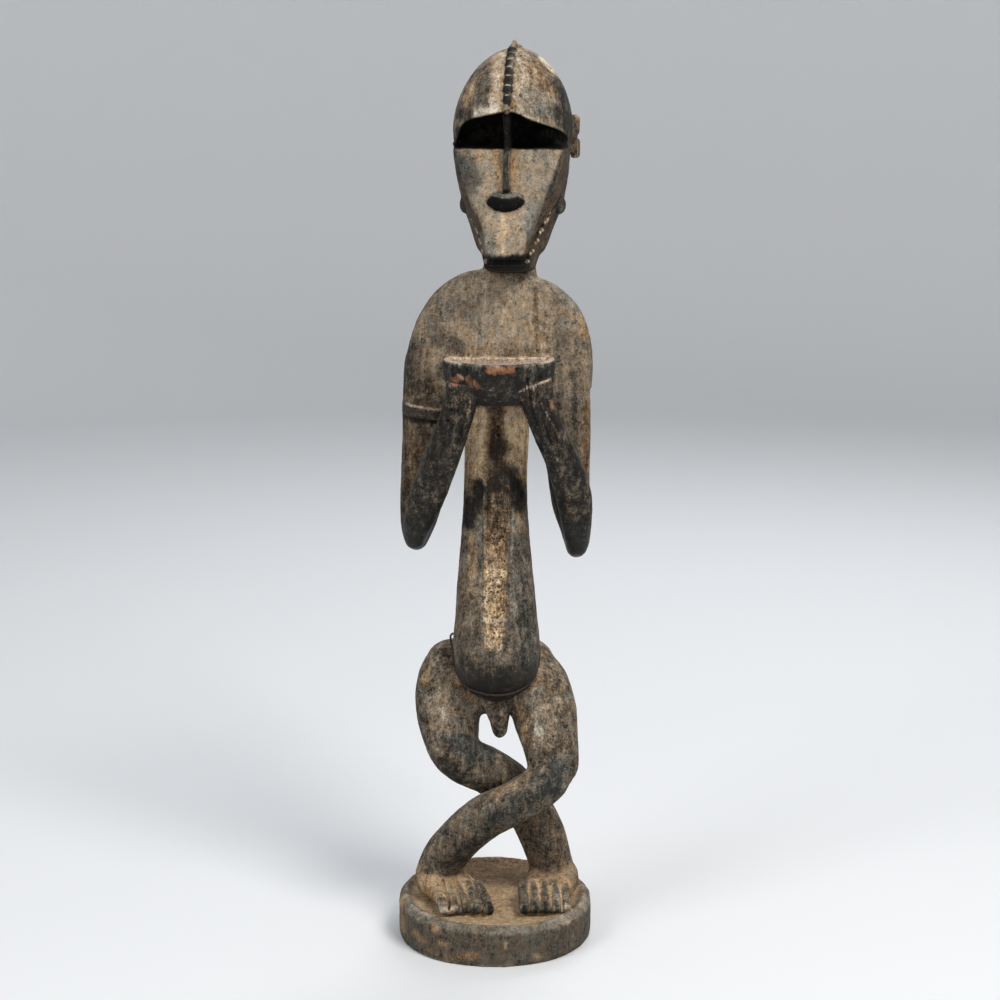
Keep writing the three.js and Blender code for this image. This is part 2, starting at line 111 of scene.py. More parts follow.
for name, settings in lightSettings.items():
    areaLight(name, *settings)
world = bpy.data.worlds.new("studioWorld")
world.use_nodes = True
background = world.node_tree.nodes["Background"].inputs
background["Color"].default_value = roomLight["colour"]
background["Strength"].default_value = roomLight["strength"]
bpy.context.scene.world = world
bpy.context.scene.view_settings.view_transform = "Standard"
bpy.context.scene.view_settings.look = "None"
print("camera and light placed")


# Shapes as closed meshes: points in mm, faces of four corners and, over the ends, faces of three

meshSizes = {
    "ringStep": 3,         # mm between the rings along a swept body
    "domeRings": 10,       # rings in each of its rounded ends
    "domeTip": 0.04,       # radians from the end's tip to the first ring
    "eggRings": 34,
    "eggTip": 0.03,
}


def smoothRun(values, perSpan=24):
    # A smooth line through the given rows, with ends that carry straight on
    rows = np.asarray(values, float)
    padded = np.vstack([2 * rows[0] - rows[1], rows, 2 * rows[-1] - rows[-2]])
    out = []
    for index in range(len(rows) - 1):
        before, start, end, after = padded[index:index + 4]
        t = np.linspace(0, 1, perSpan, endpoint=False)[:, None]
        leave, arrive = (end - before) / 2, (after - start) / 2
        out.append(start + leave * t + (3 * (end - start) - 2 * leave - arrive) * t ** 2
                   + (2 * (start - end) + leave + arrive) * t ** 3)
    return np.vstack(out + [rows[-1:]])


def ringsToMesh(rings):
    # Rings of points, joined into a skin with a flat fan over each end
    rings = np.asarray(rings, float)
    count, sides = rings.shape[:2]
    points = np.vstack([rings.reshape(-1, 3), rings[0].mean(0), rings[-1].mean(0)])
    around = np.arange(sides)
    following = (around + 1) % sides
    quads = [np.stack([row * sides + around, row * sides + following,
                       (row + 1) * sides + following, (row + 1) * sides + around], 1)
             for row in range(count - 1)]
    last = (count - 1) * sides
    caps = [np.stack([np.full(sides, count * sides), following, around], 1),
            np.stack([np.full(sides, count * sides + 1), last + around, last + following], 1)]
    return points, np.vstack(quads), np.vstack(caps)


def roundness(angle, power):
    return (np.abs(np.cos(angle)) ** power + np.abs(np.sin(angle)) ** power) ** (-1 / power)


def swept(stations, domes=(10, 10), power=2.0, faces=(0, -1, 0), sides=44):
    # A body along a spine: each station is x, y, z, half width, half depth and, if given, how
    # much the front of the section is drawn in. The ends are domes of the two lengths.
    rows = np.array([list(row) + [0] * (6 - len(row)) for row in stations], float)
    run = smoothRun(rows)
    steps = np.linalg.norm(np.diff(run[:, :3], axis=0), axis=1)
    travelled = np.concatenate([[0], np.cumsum(steps)])
    length = travelled[-1]
    domeTurn = np.linspace(meshSizes["domeTip"], math.pi / 2, meshSizes["domeRings"])
    startPlaces = domes[0] * (1 - np.cos(domeTurn))
    endPlaces = length - domes[1] * (1 - np.cos(domeTurn[::-1]))
    middleCount = max(6, int((length - sum(domes)) / meshSizes["ringStep"]))
    middlePlaces = np.linspace(domes[0], length - domes[1], middleCount)[1:-1]
    places = np.concatenate([startPlaces, middlePlaces, endPlaces])
    swell = np.concatenate([np.sin(domeTurn), np.ones(middleCount - 2), np.sin(domeTurn[::-1])])
    ringRows = np.stack([np.interp(places, travelled, run[:, column]) for column in range(6)], 1)
    tangents = np.gradient(run[:, :3], travelled, axis=0)
    ringTangents = np.stack([np.interp(places, travelled, tangents[:, axis]) for axis in range(3)], 1)
    ringTangents /= np.linalg.norm(ringTangents, axis=1, keepdims=True)
    facing = np.array(faces, float)
    front = facing - (ringTangents @ facing)[:, None] * ringTangents
    front /= np.linalg.norm(front, axis=1, keepdims=True)
    side = np.cross(front, ringTangents)
    angle = np.linspace(0, 2 * math.pi, sides, endpoint=False)
    across = np.cos(angle) * roundness(angle, power)
    forward = np.sin(angle) * roundness(angle, power)
    wide = (swell * ringRows[:, 3])[:, None] * across * (1 - ringRows[:, 5][:, None] * forward)
    deep = (swell * ringRows[:, 4])[:, None] * forward
    rings = ringRows[:, None, :3] + wide[..., None] * side[:, None] + deep[..., None] * front[:, None]
    return ringsToMesh(rings)


def egg(centre, radii, lean=0.0, power=2.0, sides=44):
    # A ball with three half axes, leaned over sideways by an angle
    polar = np.linspace(meshSizes["eggTip"], math.pi - meshSizes["eggTip"], meshSizes["eggRings"])
    angle = np.linspace(0, 2 * math.pi, sides, endpoint=False)
    bulge = np.sin(polar) * roundness(polar, power)
    height = np.cos(polar) * roundness(polar, power)
    x = bulge[:, None] * np.cos(angle) * radii[0]
    y = bulge[:, None] * np.sin(angle) * radii[1]
    z = np.repeat((height * radii[2])[:, None], sides, 1)
    leaned = [x * math.cos(lean) + z * math.sin(lean), y, z * math.cos(lean) - x * math.sin(lean)]
    return ringsToMesh(np.stack(leaned, -1) + np.array(centre, float))


def turned(profile, centre, sides=120, outlinePower=2.0, depthScale=1.0):
    # A profile of radius and height, turned round an upright axis
    angle = np.linspace(0, 2 * math.pi, sides, endpoint=False)
    reach = roundness(angle, outlinePower)
    rings = [np.stack([centre[0] + radius * reach * np.cos(angle),
                       centre[1] + radius * reach * np.sin(angle) * depthScale,
                       np.full(sides, float(height))], 1) for radius, height in profile]
    return ringsToMesh(rings)


def slab(outline, yFrom, yTo):
    # An outline of x and z that is star-shaped round its middle, given depth along y
    x, z = np.asarray(outline, float).T
    return ringsToMesh([np.stack([x, np.full(len(x), float(y)), z], 1) for y in (yFrom, yTo)])


def moved(mesh, change):
    points, quads, caps = mesh
    return change(points), quads, caps


# Forms: each is a corner of the voxel grid and an array of distances in mm, negative inside

def formOf(mesh):
    points, quads, caps = mesh
    grid = vdb.FloatGrid.createLevelSetFromPolygons(
        (points / voxel).astype(np.float32), triangles=caps.astype(np.uint32), quads=quads.astype(np.uint32),
        transform=vdb.createLinearTransform(1.0), halfWidth=band / voxel)
    corner, farCorner = [np.array(side) for side in grid.evalActiveVoxelBoundingBox()]
    values = np.empty(tuple(farCorner - corner + 1), np.float32)
    grid.copyToArray(values, ijk=tuple(int(value) for value in corner))
    return corner, values * voxel


forms = {}   # forms kept by name, so that the patina can follow them


def keep(name, form):
    forms[name] = join(forms[name], form, soft=0) if name in forms else form
    return form


def overlap(corner, shape, form):
    # Where a form lies in a box of the grid: slices of the box and of the form, or none
    start = np.maximum(form[0], corner)
    end = np.minimum(form[0] + form[1].shape, corner + shape)
    if not (end > start).all():
        return None
    return [tuple(slice(a, b) for a, b in zip(start - origin, end - origin)) for origin in (corner, form[0])]


def inBox(form, corner, shape):
    # The form's distances over another box, with clear air where the form has none
    out = np.full(shape, band, np.float32)
    shared = overlap(corner, shape, form)
    if shared:
        out[shared[0]] = form[1][shared[1]]
    return out


def softLeast(a, b, soft):
    least = np.minimum(a, b)
    if soft <= 0:
        return least
    near = np.maximum(soft - np.abs(a - b), 0) / soft
    return least - near * near * (soft / 4)


def join(first, *others, soft=2.0):
    # The forms as one, with a fillet of about the soft size in mm where they meet
    corner = np.minimum.reduce([form[0] for form in (first,) + others])
    end = np.maximum.reduce([form[0] + form[1].shape for form in (first,) + others])
    whole = inBox(first, corner, tuple(end - corner))
    for form in others:
        part, source = overlap(corner, whole.shape, form)
        whole[part] = softLeast(whole[part], form[1][source], soft)
    return corner, whole


def cut(form, *tools, soft=1.0):
    # The form with the tools taken out of it, and a soft edge to each cut
    corner, values = form[0], form[1].copy()
    for tool in tools:
        shared = overlap(corner, values.shape, tool)
        if shared:
            part, source = shared
            values[part] = -softLeast(-values[part], tool[1][source], soft)
    return corner, values


def common(form, other, soft=0.5):
    # What lies in both forms
    held = inBox(other, form[0], form[1].shape)
    return form[0], -softLeast(-form[1], -held, soft)


# The base: a thick disc with a worn rim and a shallow dish

baseSizes = {
    "halfWidth": 77.0,
    "halfDepth": 82.2,
    "top": 31,
    "dish": 2.6,
    "tilt": 0.9,           # the rim is this much higher on the figure's right
    "rim": 5,
    "outlinePower": 2.15,
    # Where the lower front edge is worn back on both sides
    "wornBack": (
        [[-70, -50, -1.2, 2.0, 1.8], [-52, -69, -0.2, 2.2, 2.0], [-30, -81, -0.2, 2.2, 2.0], [-10, -85, -1, 2, 2]],
        [[78, -20, -1, 2.6, 2.2], [70, -42, -0.2, 3.0, 2.8], [56, -62, -0.4, 2.8, 2.4], [40, -77, -1, 2, 2]]),
}


def carvedBase():
    b = baseSizes
    r, top, rim, dished = b["halfWidth"], b["top"], b["rim"], b["top"] - b["dish"]
    profile = [(0.01, -6), (r - 1.4, -6), (r - 0.6, 0), (r, 3), (r - 0.2, 14), (r, top - rim * 1.15),
               (r - 0.7, top - rim * 0.7), (r - 3.2, top - rim * 0.08), (r - 4.8, top + 0.8), (r - 7, top + 0.8),
               (r - 11, top - b["dish"] * 0.6), (r - 16, dished), (0.01, dished)]
    leaning = np.array([0, 0, -b["tilt"] / (r * top)])
    disc = formOf(moved(turned(profile, (0, 0), 160, b["outlinePower"], b["halfDepth"] / r),
                        lambda p: p + np.maximum(p[:, 2:], 0) * p[:, :1] * leaning))
    worn = [formOf(swept(run, (8, 8), 2.0, (0, 0, 1))) for run in b["wornBack"]]
    return keep("base", cut(disc, *worn, soft=2.5))


# Feet, each with five toes and a groove between every two of them

footSizes = {
    "toe": 3.7,
    "bigToe": 0.9,         # thicker than the others by this much
    "littleToe": -0.5,
    "groove": 1.05,
    "bow": 3.0,            # how far the middle toes reach past a straight line through the outer tips
    "left": {"ankle": (-43, -4), "roots": ((-45.5, -22), (-13, -21)), "tips": ((-40.5, -44), (-3.4, -52)),
             "dark": (0.3, 0.4, 0.45, 0.5, 0.85)},
    "right": {"ankle": (47, 2), "roots": ((55.5, -20), (22.5, -22)), "tips": ((57, -43.5), (23.2, -51.5)),
              "dark": (0.2, 0.7, 0.8, 0.8, 0.85)},
}
toeLines = []   # each toe's root, tip and darkness, so that the patina can follow it


def carvedFoot(sizes):
    # From the little toe to the big one, even steps are toes and odd ones the grooves between them
    (ankleX, ankleY), roots, tips = sizes["ankle"], sizes["roots"], sizes["tips"]
    thick = footSizes["toe"]
    (rootX, rootY), (tipX, tipY) = [[(a + b) / 2 for a, b in zip(*ends)] for ends in (roots, tips)]
    half = abs(tips[1][0] - tips[0][0]) / 2 + thick
    instep = formOf(swept([
        [ankleX, ankleY + 18, 37, 17, 10],
        [ankleX, ankleY, 42, 20.5, 13.5],
        [(ankleX + rootX) / 2, (ankleY + rootY) / 2, 40, 20.5, 11.5],
        [rootX, rootY - 2, 36.5, half * 0.93, 9.6],
        [tipX, tipY + 9, 32, half * 0.97, 5.6],
        [tipX, tipY + 3, 30.5, half * 0.9, 3.2],
    ], (12, 3), 2.6, (0, 0, 1)))
    web = formOf(swept([
        [rootX, rootY + 2, 40.6, half * 0.92, 5],
        [(rootX + tipX) / 2, (rootY + tipY) / 2 - 2, 37.2, half * 0.97, 4.8],
        [tipX, tipY - 0.5, 32.8, half * 0.98, 3.2],
    ], (3, 1.5), 3.4, (0, 0, 1)))
    toes, grooves = [], []
    for index in range(9):
        share = index / 8
        root, tip = [[a + share * (b - a) for a, b in zip(*ends)] for ends in (roots, tips)]
        bow = footSizes["bow"] * math.sin(math.pi * share)
        middle = [(root[0] + tip[0]) / 2, (root[1] + tip[1]) / 2 - bow / 2]
        if index % 2:
            wide = footSizes["groove"]
            grooves.append(formOf(swept([
                [root[0], root[1] + 4, 49.4, wide, 1.4],
                [root[0], root[1] - 2, 47.2, wide, 1.7],
                [middle[0], middle[1], 42.8, wide, 1.9],
                [tip[0], tip[1] - bow + 2, 37.2, wide, 2.4],
                [tip[0], tip[1] - bow - 5, 33, wide, 4],
            ], (3, 2), 2.2, (0, 0, 1), 20)))
            continue
        size = thick + {0: footSizes["littleToe"], 8: footSizes["bigToe"]}.get(index, 0)
        toeLines.append((root, (tip[0], tip[1] - bow), sizes["dark"][index // 2]))
        toes.append(formOf(swept([
            [root[0], root[1] + 5, 45.4, size * 0.85, 3.2],
            [root[0], root[1] - 2, 43.8, size, 3.6],
            [middle[0], middle[1], 38.8, size, 4.3],
            [tip[0], tip[1] - bow, 32.9, size * 0.98, size * 1.02],
        ], (4, 4), 2.5, (0, 0, 1), 28)))
    together = keep("toes", join(*toes, soft=0.4))
    keep("insteps", instep)
    return cut(join(instep, web, together, soft=1.2), *grooves, soft=0.8)


# Legs: both knees bend forward, and the shins cross, the left one in front

legSizes = {
    "leftThigh": [[26.5, 18, 232, 11, 16], [31.5, 16, 216, 16.6, 21], [36.6, 11, 201, 22.4, 25],
                  [39.2, 1, 180, 26.0, 25], [44.0, -10, 156, 22.2, 23], [45.8, -18, 138, 19.6, 21],
                  [42, -21, 126, 14.5, 17]],
    "leftShin": [[52.4, -22, 148.4, 13.6, 16], [40, -25, 131, 16.8, 19], [17.2, -27, 115.8, 16.8, 18.5],
                 [-8.2, -24, 101.4, 17.8, 18], [-29.2, -16, 79.8, 17.6, 17.5], [-41.2, -7, 60, 18.1, 17],
                 [-45, -2, 40, 20.9, 17]],
    "rightThigh": [[-28, 18, 235, 11, 16], [-33.7, 16, 220, 19.9, 21], [-36.7, 10, 202, 25.4, 25],
                   [-37, 1, 180, 25.5, 24.5], [-33.6, -7, 158, 21.8, 22], [-27.6, -11, 142.5, 18.2, 20],
                   [-23, -12, 132, 14, 16]],
    "rightShin": [[-39, -11, 154, 13.4, 16], [-24.4, -8, 143, 18.6, 18.5], [-6, 2, 131.6, 18.9, 18],
                  [12.8, 10, 116.4, 17.8, 18], [28, 11, 95.6, 18.7, 18], [38.6, 8, 73.6, 18.8, 17.5],
                  [44.6, 5, 54, 17.8, 17], [47, 5, 38, 19.5, 17]],
}


def carvedLegs():
    left = join(formOf(swept(legSizes["leftThigh"], (13, 17), 2.2)),
                formOf(swept(legSizes["leftShin"], (17, 7), 2.15)), soft=4)
    right = join(formOf(swept(legSizes["rightThigh"], (14, 15), 2.2)),
                 formOf(swept(legSizes["rightShin"], (16, 7), 2.15)), soft=4)
    return join(left, right, soft=3)


def carvedHips():
    pelvis = formOf(swept([[-37, 19, 214, 18, 18], [-20, 20, 215, 21, 21], [24, 20, 215, 21, 21],
                           [38, 19, 211, 17, 18]], (14, 14), 2.2))
    crotch = formOf(egg((2, 4, 197), (32, 24, 19)))
    buttocks = [formOf(egg((2 + side * 20, 29, 207), (23, 20, 27))) for side in (-1, 1)]
    peg = formOf(swept([[2.5, -6, 207, 15, 10], [2.2, -13, 195, 13.6, 9.5], [2.8, -16.5, 186, 10.2, 8.2],
                        [3.5, -18.6, 178, 7.6, 7], [3.8, -20, 165, 5, 5]], (5, 6)))
    keep("peg", peg)
    return join(join(pelvis, crotch, soft=8), *buttocks, soft=5), peg


# The trunk: a column that swells into a long hanging belly, with a raised strip down its front

trunkSizes = {
    "stations": [[2, -25, 197, 24.6, 21], [1.6, -20, 214, 31.6, 29], [1.2, -15, 240, 34, 33],
                 [1.0, -12, 264, 32.0, 31], [0.5, -7, 294, 29.5, 27.5], [0.4, -2, 328, 26.5, 25],
                 [0.5, 2, 362, 24.8, 24], [1.3, 4, 396, 25, 23.5], [1.3, 5, 430, 26, 23], [1.3, 5, 462, 28, 22]],
    "stripTop": 372,
    "stripRaise": 1.6,
    "stripHollow": 0.5,    # how far the worn middle of the strip lies under the trunk's own skin
    "shoulderHalf": 72.5,
    "shoulderDepth": 23,
    "shoulderWidest": 444,
    "shoulderTop": 528,
}


def carvedTrunk():
    t = trunkSizes
    column = keep("column", formOf(swept(t["stations"], (24, 6), 2.15, sides=64)))
    raised = column[0], column[1] - t["stripRaise"]
    top = t["stripTop"]
    edge = [(-9.6, top), (-9.2, 330), (-9, 300), (-8.4, 286), (0, 281),
            (8.6, 286), (10.2, 300), (11.8, 330), (12.6, top)]
    strip = keep("strip", common(raised, formOf(slab(edge, -80, -8)), soft=1.0))
    # The flat front of the strip is eaten away a little between its two edges
    worn = [(x * 0.76 + 0.3, top - (top - z) * 1.06) for x, z in edge]
    inside = common((column[0], column[1] - 3), formOf(slab(worn, -80, -8)), soft=0.4)
    floorLevel = column[0], column[1] - t["stripHollow"]
    hollow = cut(inside, floorLevel, soft=0.3)
    return cut(join(column, strip, soft=0.8), hollow, soft=0.8)


def carvedShoulders():
    t = trunkSizes
    widest, top = t["shoulderWidest"], t["shoulderTop"]
    rows = [[2.2, 4.5, 425, 65, 18.4]]
    for rise in (0, 0.15, 0.3, 0.45, 0.6, 0.73, 0.84, 0.92, 0.97, 0.99):
        arch = t["shoulderHalf"] * (1 - rise ** 2.3) ** (1 / 2.6)
        rows.append([2.2 + 13.6 * rise ** 1.1, 4 + 3 * rise, widest + (top - widest) * rise, arch,
                     t["shoulderDepth"] * (1 - 0.45 * rise ** 3)])
    return keep("shoulders", formOf(swept(rows, (8, 2), 2.6, sides=90)))


# Arms: the upper arm hangs to a pointed elbow, and the forearm rises to the bowl

armSizes = {
    "middle": 1.3,
    "finger": 6.0,     # mm from one groove to the next
    # The middle groove's line down the hand: how far out, how that follows the drop of the elbow,
    # how the grooves spread, then y, z, half width and half depth
    "grooves": ((35.6, 0.9, 0.92, -48.0, 403, 0.7, 1.0), (32.6, 0.85, 0.96, -52.3, 413, 1.1, 1.7),
                (28.6, 0.7, 1, -57.7, 431, 1.1, 1.8), (25.8, 0.7, 1, -60.4, 447, 1.2, 2.2),
                (24.6, 0.7, 1, -62, 456, 1.2, 2.6)),
    "leftDrop": 6,     # mm, the left elbow is this much lower than the right one
}


def armX(side, out):
    # The place of something this far out from the middle, on the figure's left for side 1
    return armSizes["middle"] + side * out


def upperArm(side, drop):
    return formOf(swept([
        [armX(side, 47), 4, 462, 18, 11],
        [armX(side, 52.0), 4, 437, 19.8, 19],
        [armX(side, 53.4), 4.5, 405, 19.6, 20],
        [armX(side, 55.8), 6, 374, 18.6 - drop * 0.29, 17.5],
        [armX(side, 58.8 - drop / 6), 6, 348, 16.6 - drop * 0.28, 16.5],
        [armX(side, 61.6), 3, 328 - drop / 2, 12.8 - drop * 0.26, 14],
        [armX(side, 63.0 - drop / 8), 2, 311 - drop, 6.4, 9]], (8, 6), 2.3))


def foreArm(side, drop):
    # The hand ends in a slanting edge against the bowl, higher on its outer side
    inner, outer = (446.5, 454) if side < 0 else (444.5, 457)
    edge = [(8, inner), (44, outer), (44, outer + 22), (8, inner + 22)][::side]
    above = formOf(slab([(armX(side, x), z) for x, z in edge], -95, -20))
    arm = formOf(swept([
        [armX(side, 63.6 - drop / 4), -1, 314 - drop, 6.0, 9],
        [armX(side, 61.6 + drop / 8), -7, 332 - drop, 10.6 - drop / 20, 14],
        [armX(side, 53.2 + drop * 1.0), -18, 358, 13.7 + drop / 20, 14],
        [armX(side, 42.4 + drop * 1.27), -30, 388, 13.5 - drop / 20, 13],
        [armX(side, 32.8 + drop * 0.93), -41, 415, 12.9 - drop / 9, 11],
        [armX(side, 27.6 + drop * 0.7), -47.5, 433, 12.8, 10],
        [armX(side, 25.4 + drop * 0.7), -50.5, 448, 12.6, 9],
        [armX(side, 24 + drop * 0.7), -52, 458, 12.8, 8.5]], (8, 1), 3.4))
    return keep("forearms", cut(arm, above, soft=1.5))


def fingerGrooves(side, drop):
    # The fingers lie flat against each other along the hand, parted by three shallow grooves
    made = []
    for index in range(3):
        outward = (index - 1) * armSizes["finger"]
        stations = [[armX(side, out + drop * lower + outward * spread), y + abs(outward) * 0.06, z, wide, deep]
                    for out, lower, spread, y, z, wide, deep in armSizes["grooves"]]
        made.append(keep("fingerGrooves", formOf(swept(stations, (3, 2), 2.2, sides=20))))
    return made


def armRing():
    # A raised ring round the right upper arm, a little lower at its front
    wide = formOf(swept([
        [armX(-1, 52.2), 4.2, 445, 20.3, 22.8],
        [armX(-1, 52.4), 4.5, 424, 20.6, 23.0],
        [armX(-1, 53.4), 5, 400, 20.4, 22.6]], (4, 4), 2.3))
    outline = [(-90, 432.0), (-70, 429.0), (-42, 425.2), (-20, 423.0),
               (-20, 413.8), (-42, 415.8), (-70, 419.6), (-90, 422.6)]
    return keep("ring", common(wide, formOf(slab(outline, -60, 60)), soft=1.6))


# The bowl: half round, its straight edge against the chest, hollow and empty

bowlSizes = {
    "centre": (3.3, -25),
    "radius": 42.7,
    "wall": 6,
    "rim": 466,
    "bottom": 432,
    "hollow": 17,
}


def carvedBowl():
    b = bowlSizes
    r, rim, bottom = b["radius"], b["rim"], b["bottom"]
    outside = formOf(turned([
        (0.01, bottom), (r * 0.55, bottom), (r * 0.64, bottom + 1), (r * 0.82, bottom + 6),
        (r * 0.93, bottom + 13), (r * 0.98, bottom + 21), (r, rim - 5), (r - 0.4, rim - 1.2),
        (r - 1.4, rim), (0.01, rim)], b["centre"]))
    keep("bowl", outside)
    mouth = r - b["wall"]
    turns = np.linspace(0.01, 1.5, 14)
    dip = [(mouth * math.sin(turn), rim - b["hollow"] * math.cos(turn)) for turn in turns]
    above = [(mouth + 0.6, rim + 1), (mouth + 1, rim + 8), (0.01, rim + 8)]
    inside = formOf(turned(dip + above, b["centre"]))
    front = formOf(slab([(-80, 400), (80, 400), (80, 500), (-80, 500)], -120, b["centre"][1] + 1))
    return outside, keep("bowlInside", common(inside, front, soft=0.6))


# The head is carved straight, round its own upright axis, and then turned and moved into place

headSizes = {
    "middle": 13.3,
    "back": 6,
    "turn": -6,          # degrees
    "skullHalf": 44.7,
    "skullDepth": 46,
    "skull": 635,
    "crown": 696.4,
    "faceTop": 622,
    "brow": [(-41, 623), (-35.4, 636.9), (-29.5, 642.4), (-17.8, 645.7), (2.6, 648.9),
             (18.6, 642.5), (38, 634.6), (42.6, 627.7), (44.6, 622.6)],   # from the figure's right to its left
    "beads": 7,
    "beadStep": 7.9,     # mm from one bead to the next
    "leftEar": 49.2,     # mm from the head's middle to the outer side of the ear
    "rightEar": 45,
    "teeth": 10,         # on each side
}
headTurn = math.radians(headSizes["turn"])


def placed(points):
    c, s = math.cos(headTurn), math.sin(headTurn)
    x, y = points[:, 0], points[:, 1]
    return np.stack([x * c - y * s + headSizes["middle"], x * s + y * c + headSizes["back"], points[:, 2]], 1)


def headForm(mesh):
    return formOf(moved(mesh, placed))


def carvedSkull():
    h = headSizes
    halves = (h["skullHalf"] + 0.8, h["skullDepth"], h["crown"] - h["skull"])
    dome = headForm(egg((0.5, 0, h["skull"]), halves, 0.06, 1.87, 72))
    nape = headForm(swept([[0, 8, 650, 38, 36], [-1.6, 8, 615, 39.8, 36], [-1.9, 9, 585, 32.4, 30],
                           [-3, 7, 555, 20.4, 20], [-1.6, 1.5, 515, 21.2, 15.5]], (10, 4), 2.1))
    belowBrow = headForm(slab([(-80, 480), (80, 480), (80, h["faceTop"]), (-80, h["faceTop"])], -90, -16))
    return keep("skull", cut(join(dome, nape, soft=4), belowBrow, soft=1))


def muzzleMesh():
    return swept([
        [0, -4, 623, 43.8, 26, 0],
        [0, -9, 606, 42, 28, 0.02],
        [0, -15, 588, 38, 30, 0.05],
        [0, -23, 568, 29.3, 31, 0.11],
        [0, -31, 550, 21.3, 30.5, 0.2],
        [0, -34, 531, 17.2, 27, 0.12]], (1.2, 3), 6.5, sides=96)


def eyeHollow():
    # The deep hollow under the brow is open to the front, and the skull is left round it as a visor
    arch = smoothRun(headSizes["brow"], 6)
    low = headSizes["faceTop"] + 0.5
    outline = [(arch[0][0] - 10, low)] + [tuple(point) for point in arch] + [(arch[-1][0] + 10, low)]
    return keep("hollow", headForm(slab(outline, -90, -13)))


def carvedNose():
    # The bridge goes on behind as a thin wall to the back of the eye hollow
    bridge = headForm(swept([[-0.4, -28, 652, 3.4, 16], [-0.4, -25, 632, 2.5, 16.5], [-0.2, -37, 614, 2.3, 8],
                             [-0.2, -40, 606, 2.3, 5.2], [0.5, -46, 590, 2.5, 5]], (3, 3), 4, sides=24))
    rolled = []
    for side in (-12, -9, -4.5, 0, 4.5, 9, 12):
        bend = side * side
        rolled.append([side, -50.4 + abs(side) * 0.02 + bend * 0.019, 583.6 + bend * 0.030,
                       6.4 - bend * 0.012, 6.6 - bend * 0.012])
    nostrils = headForm(swept(rolled, (3.5, 3.5), 2.6, sides=36))
    lip = headForm(swept([[0, -50.5, 578, 1.2, 1.6], [0, -55, 562, 1.8, 1.8], [0, -59.6, 550, 2.2, 1.8]],
                         (6, 2), 2, sides=20))
    eyes = [headForm(egg((side * 24, -12.5, 631), (9, 5, 7))) for side in (-1, 1)]
    for name, form in (("bridge", bridge), ("nostrils", nostrils), ("lip", lip)):
        keep(name, form)
    return bridge, nostrils, lip, eyes


def mouthSlit():
    # A slit that runs round the front and rises along both sides of the muzzle
    outline = [(-72, 538.4), (-54, 538.2), (-31, 562.2), (-12, 581),
               (-13.6, 585.5), (-32.8, 566.6), (-55.2, 542.4), (-72, 542.4)]
    across = moved(slab(outline, -60, 60), lambda p: np.stack([-p[:, 1], p[:, 0], p[:, 2]], 1))
    core = headForm(moved(muzzleMesh(), lambda p: p * np.array([0.9, 1, 1]) + np.array([0, 3.4, 0])))
    return cut(headForm(across), core, soft=0.2)


def toothForms():
    # Two rows of teeth on each side, the upper ones between the lower ones
    made = []
    count = headSizes["teeth"]
    for side in (-1, 1):
        for index in range(count):
            share = index / (count - 1)
            above = 1.5 if index % 2 else -1.3
            x = side * (17.0 + share * 13.1) + (2.4 if side < 0 else 0)
            y = -52.5 + share * 32 - above * 0.7
            z = 541.6 + share * 32 + above * 0.7
            made.append(keep("teeth", headForm(egg((x, y, z), (1.7, 1.4, 2.0), sides=16))))
    return made


def earForm(side, reach):
    # Two small blocks, one above the other, on a root that joins them to the skull
    root = headForm(egg((side * (reach - 7.5), 20, 629), (6.6, 6, 13), power=3))
    blocks = [headForm(egg((side * (reach - 3.6 - less), 25, height), (4.2, 6, tall), power=4.6, sides=32))
              for height, tall, less in ((637.9, 8.2, 0.3), (620.4, 7.8, -0.3))]
    return keep("ears", join(root, *blocks, soft=0.8))


def onSkull(turn, proud):
    # A place on the skull's middle line, from the brow at 0 over the crown, and this far proud of it
    rise = headSizes["crown"] - headSizes["skull"] + proud
    depth = headSizes["skullDepth"] + proud
    return [0, -depth * math.cos(turn), headSizes["skull"] + rise * math.sin(turn)]


def crestX(turn):
    # The crest drifts a little to the figure's left on its way up
    return 0.2 + 0.9 * math.sin(turn)


def crestForms():
    # Square beads with thin walls between them run from the brow to the crown
    upper = headSizes["crown"] - headSizes["skull"]
    beads, turn = [], 0.4
    for index in range(headSizes["beads"]):
        wide = 3.2 + 0.11 * index
        place = [crestX(turn)] + onSkull(turn, -0.5)[1:]
        beads.append(keep("beads", headForm(egg(place, (wide, 3.3, 3.4), power=3.4, sides=24))))
        reach = math.hypot(headSizes["skullDepth"] * math.sin(turn), upper * math.cos(turn))
        turn += headSizes["beadStep"] / reach
    beadBand = headForm(swept([[crestX(turn)] + onSkull(turn, 0)[1:] + [2.8, 1.4]
                               for turn in (0.2, 0.5, 0.8, 1.1, 1.4)], (3, 3), 3, sides=20))
    crown = join(headForm(egg((1.8, -3, headSizes["crown"] + 0.8), (2.8, 3.2, 5))),
                 headForm(egg((4.8, 3, headSizes["crown"] - 1.2), (3.2, 4, 3.4))), soft=1.2)
    ridge = headForm(swept([onSkull(turn, -0.4) + [3.2, 3] for turn in (1.5, 1.9, 2.3, 2.7, 3.05)],
                           (4, 6), 2, (0, 0, 1), 24))
    return beads, beadBand, crown, ridge


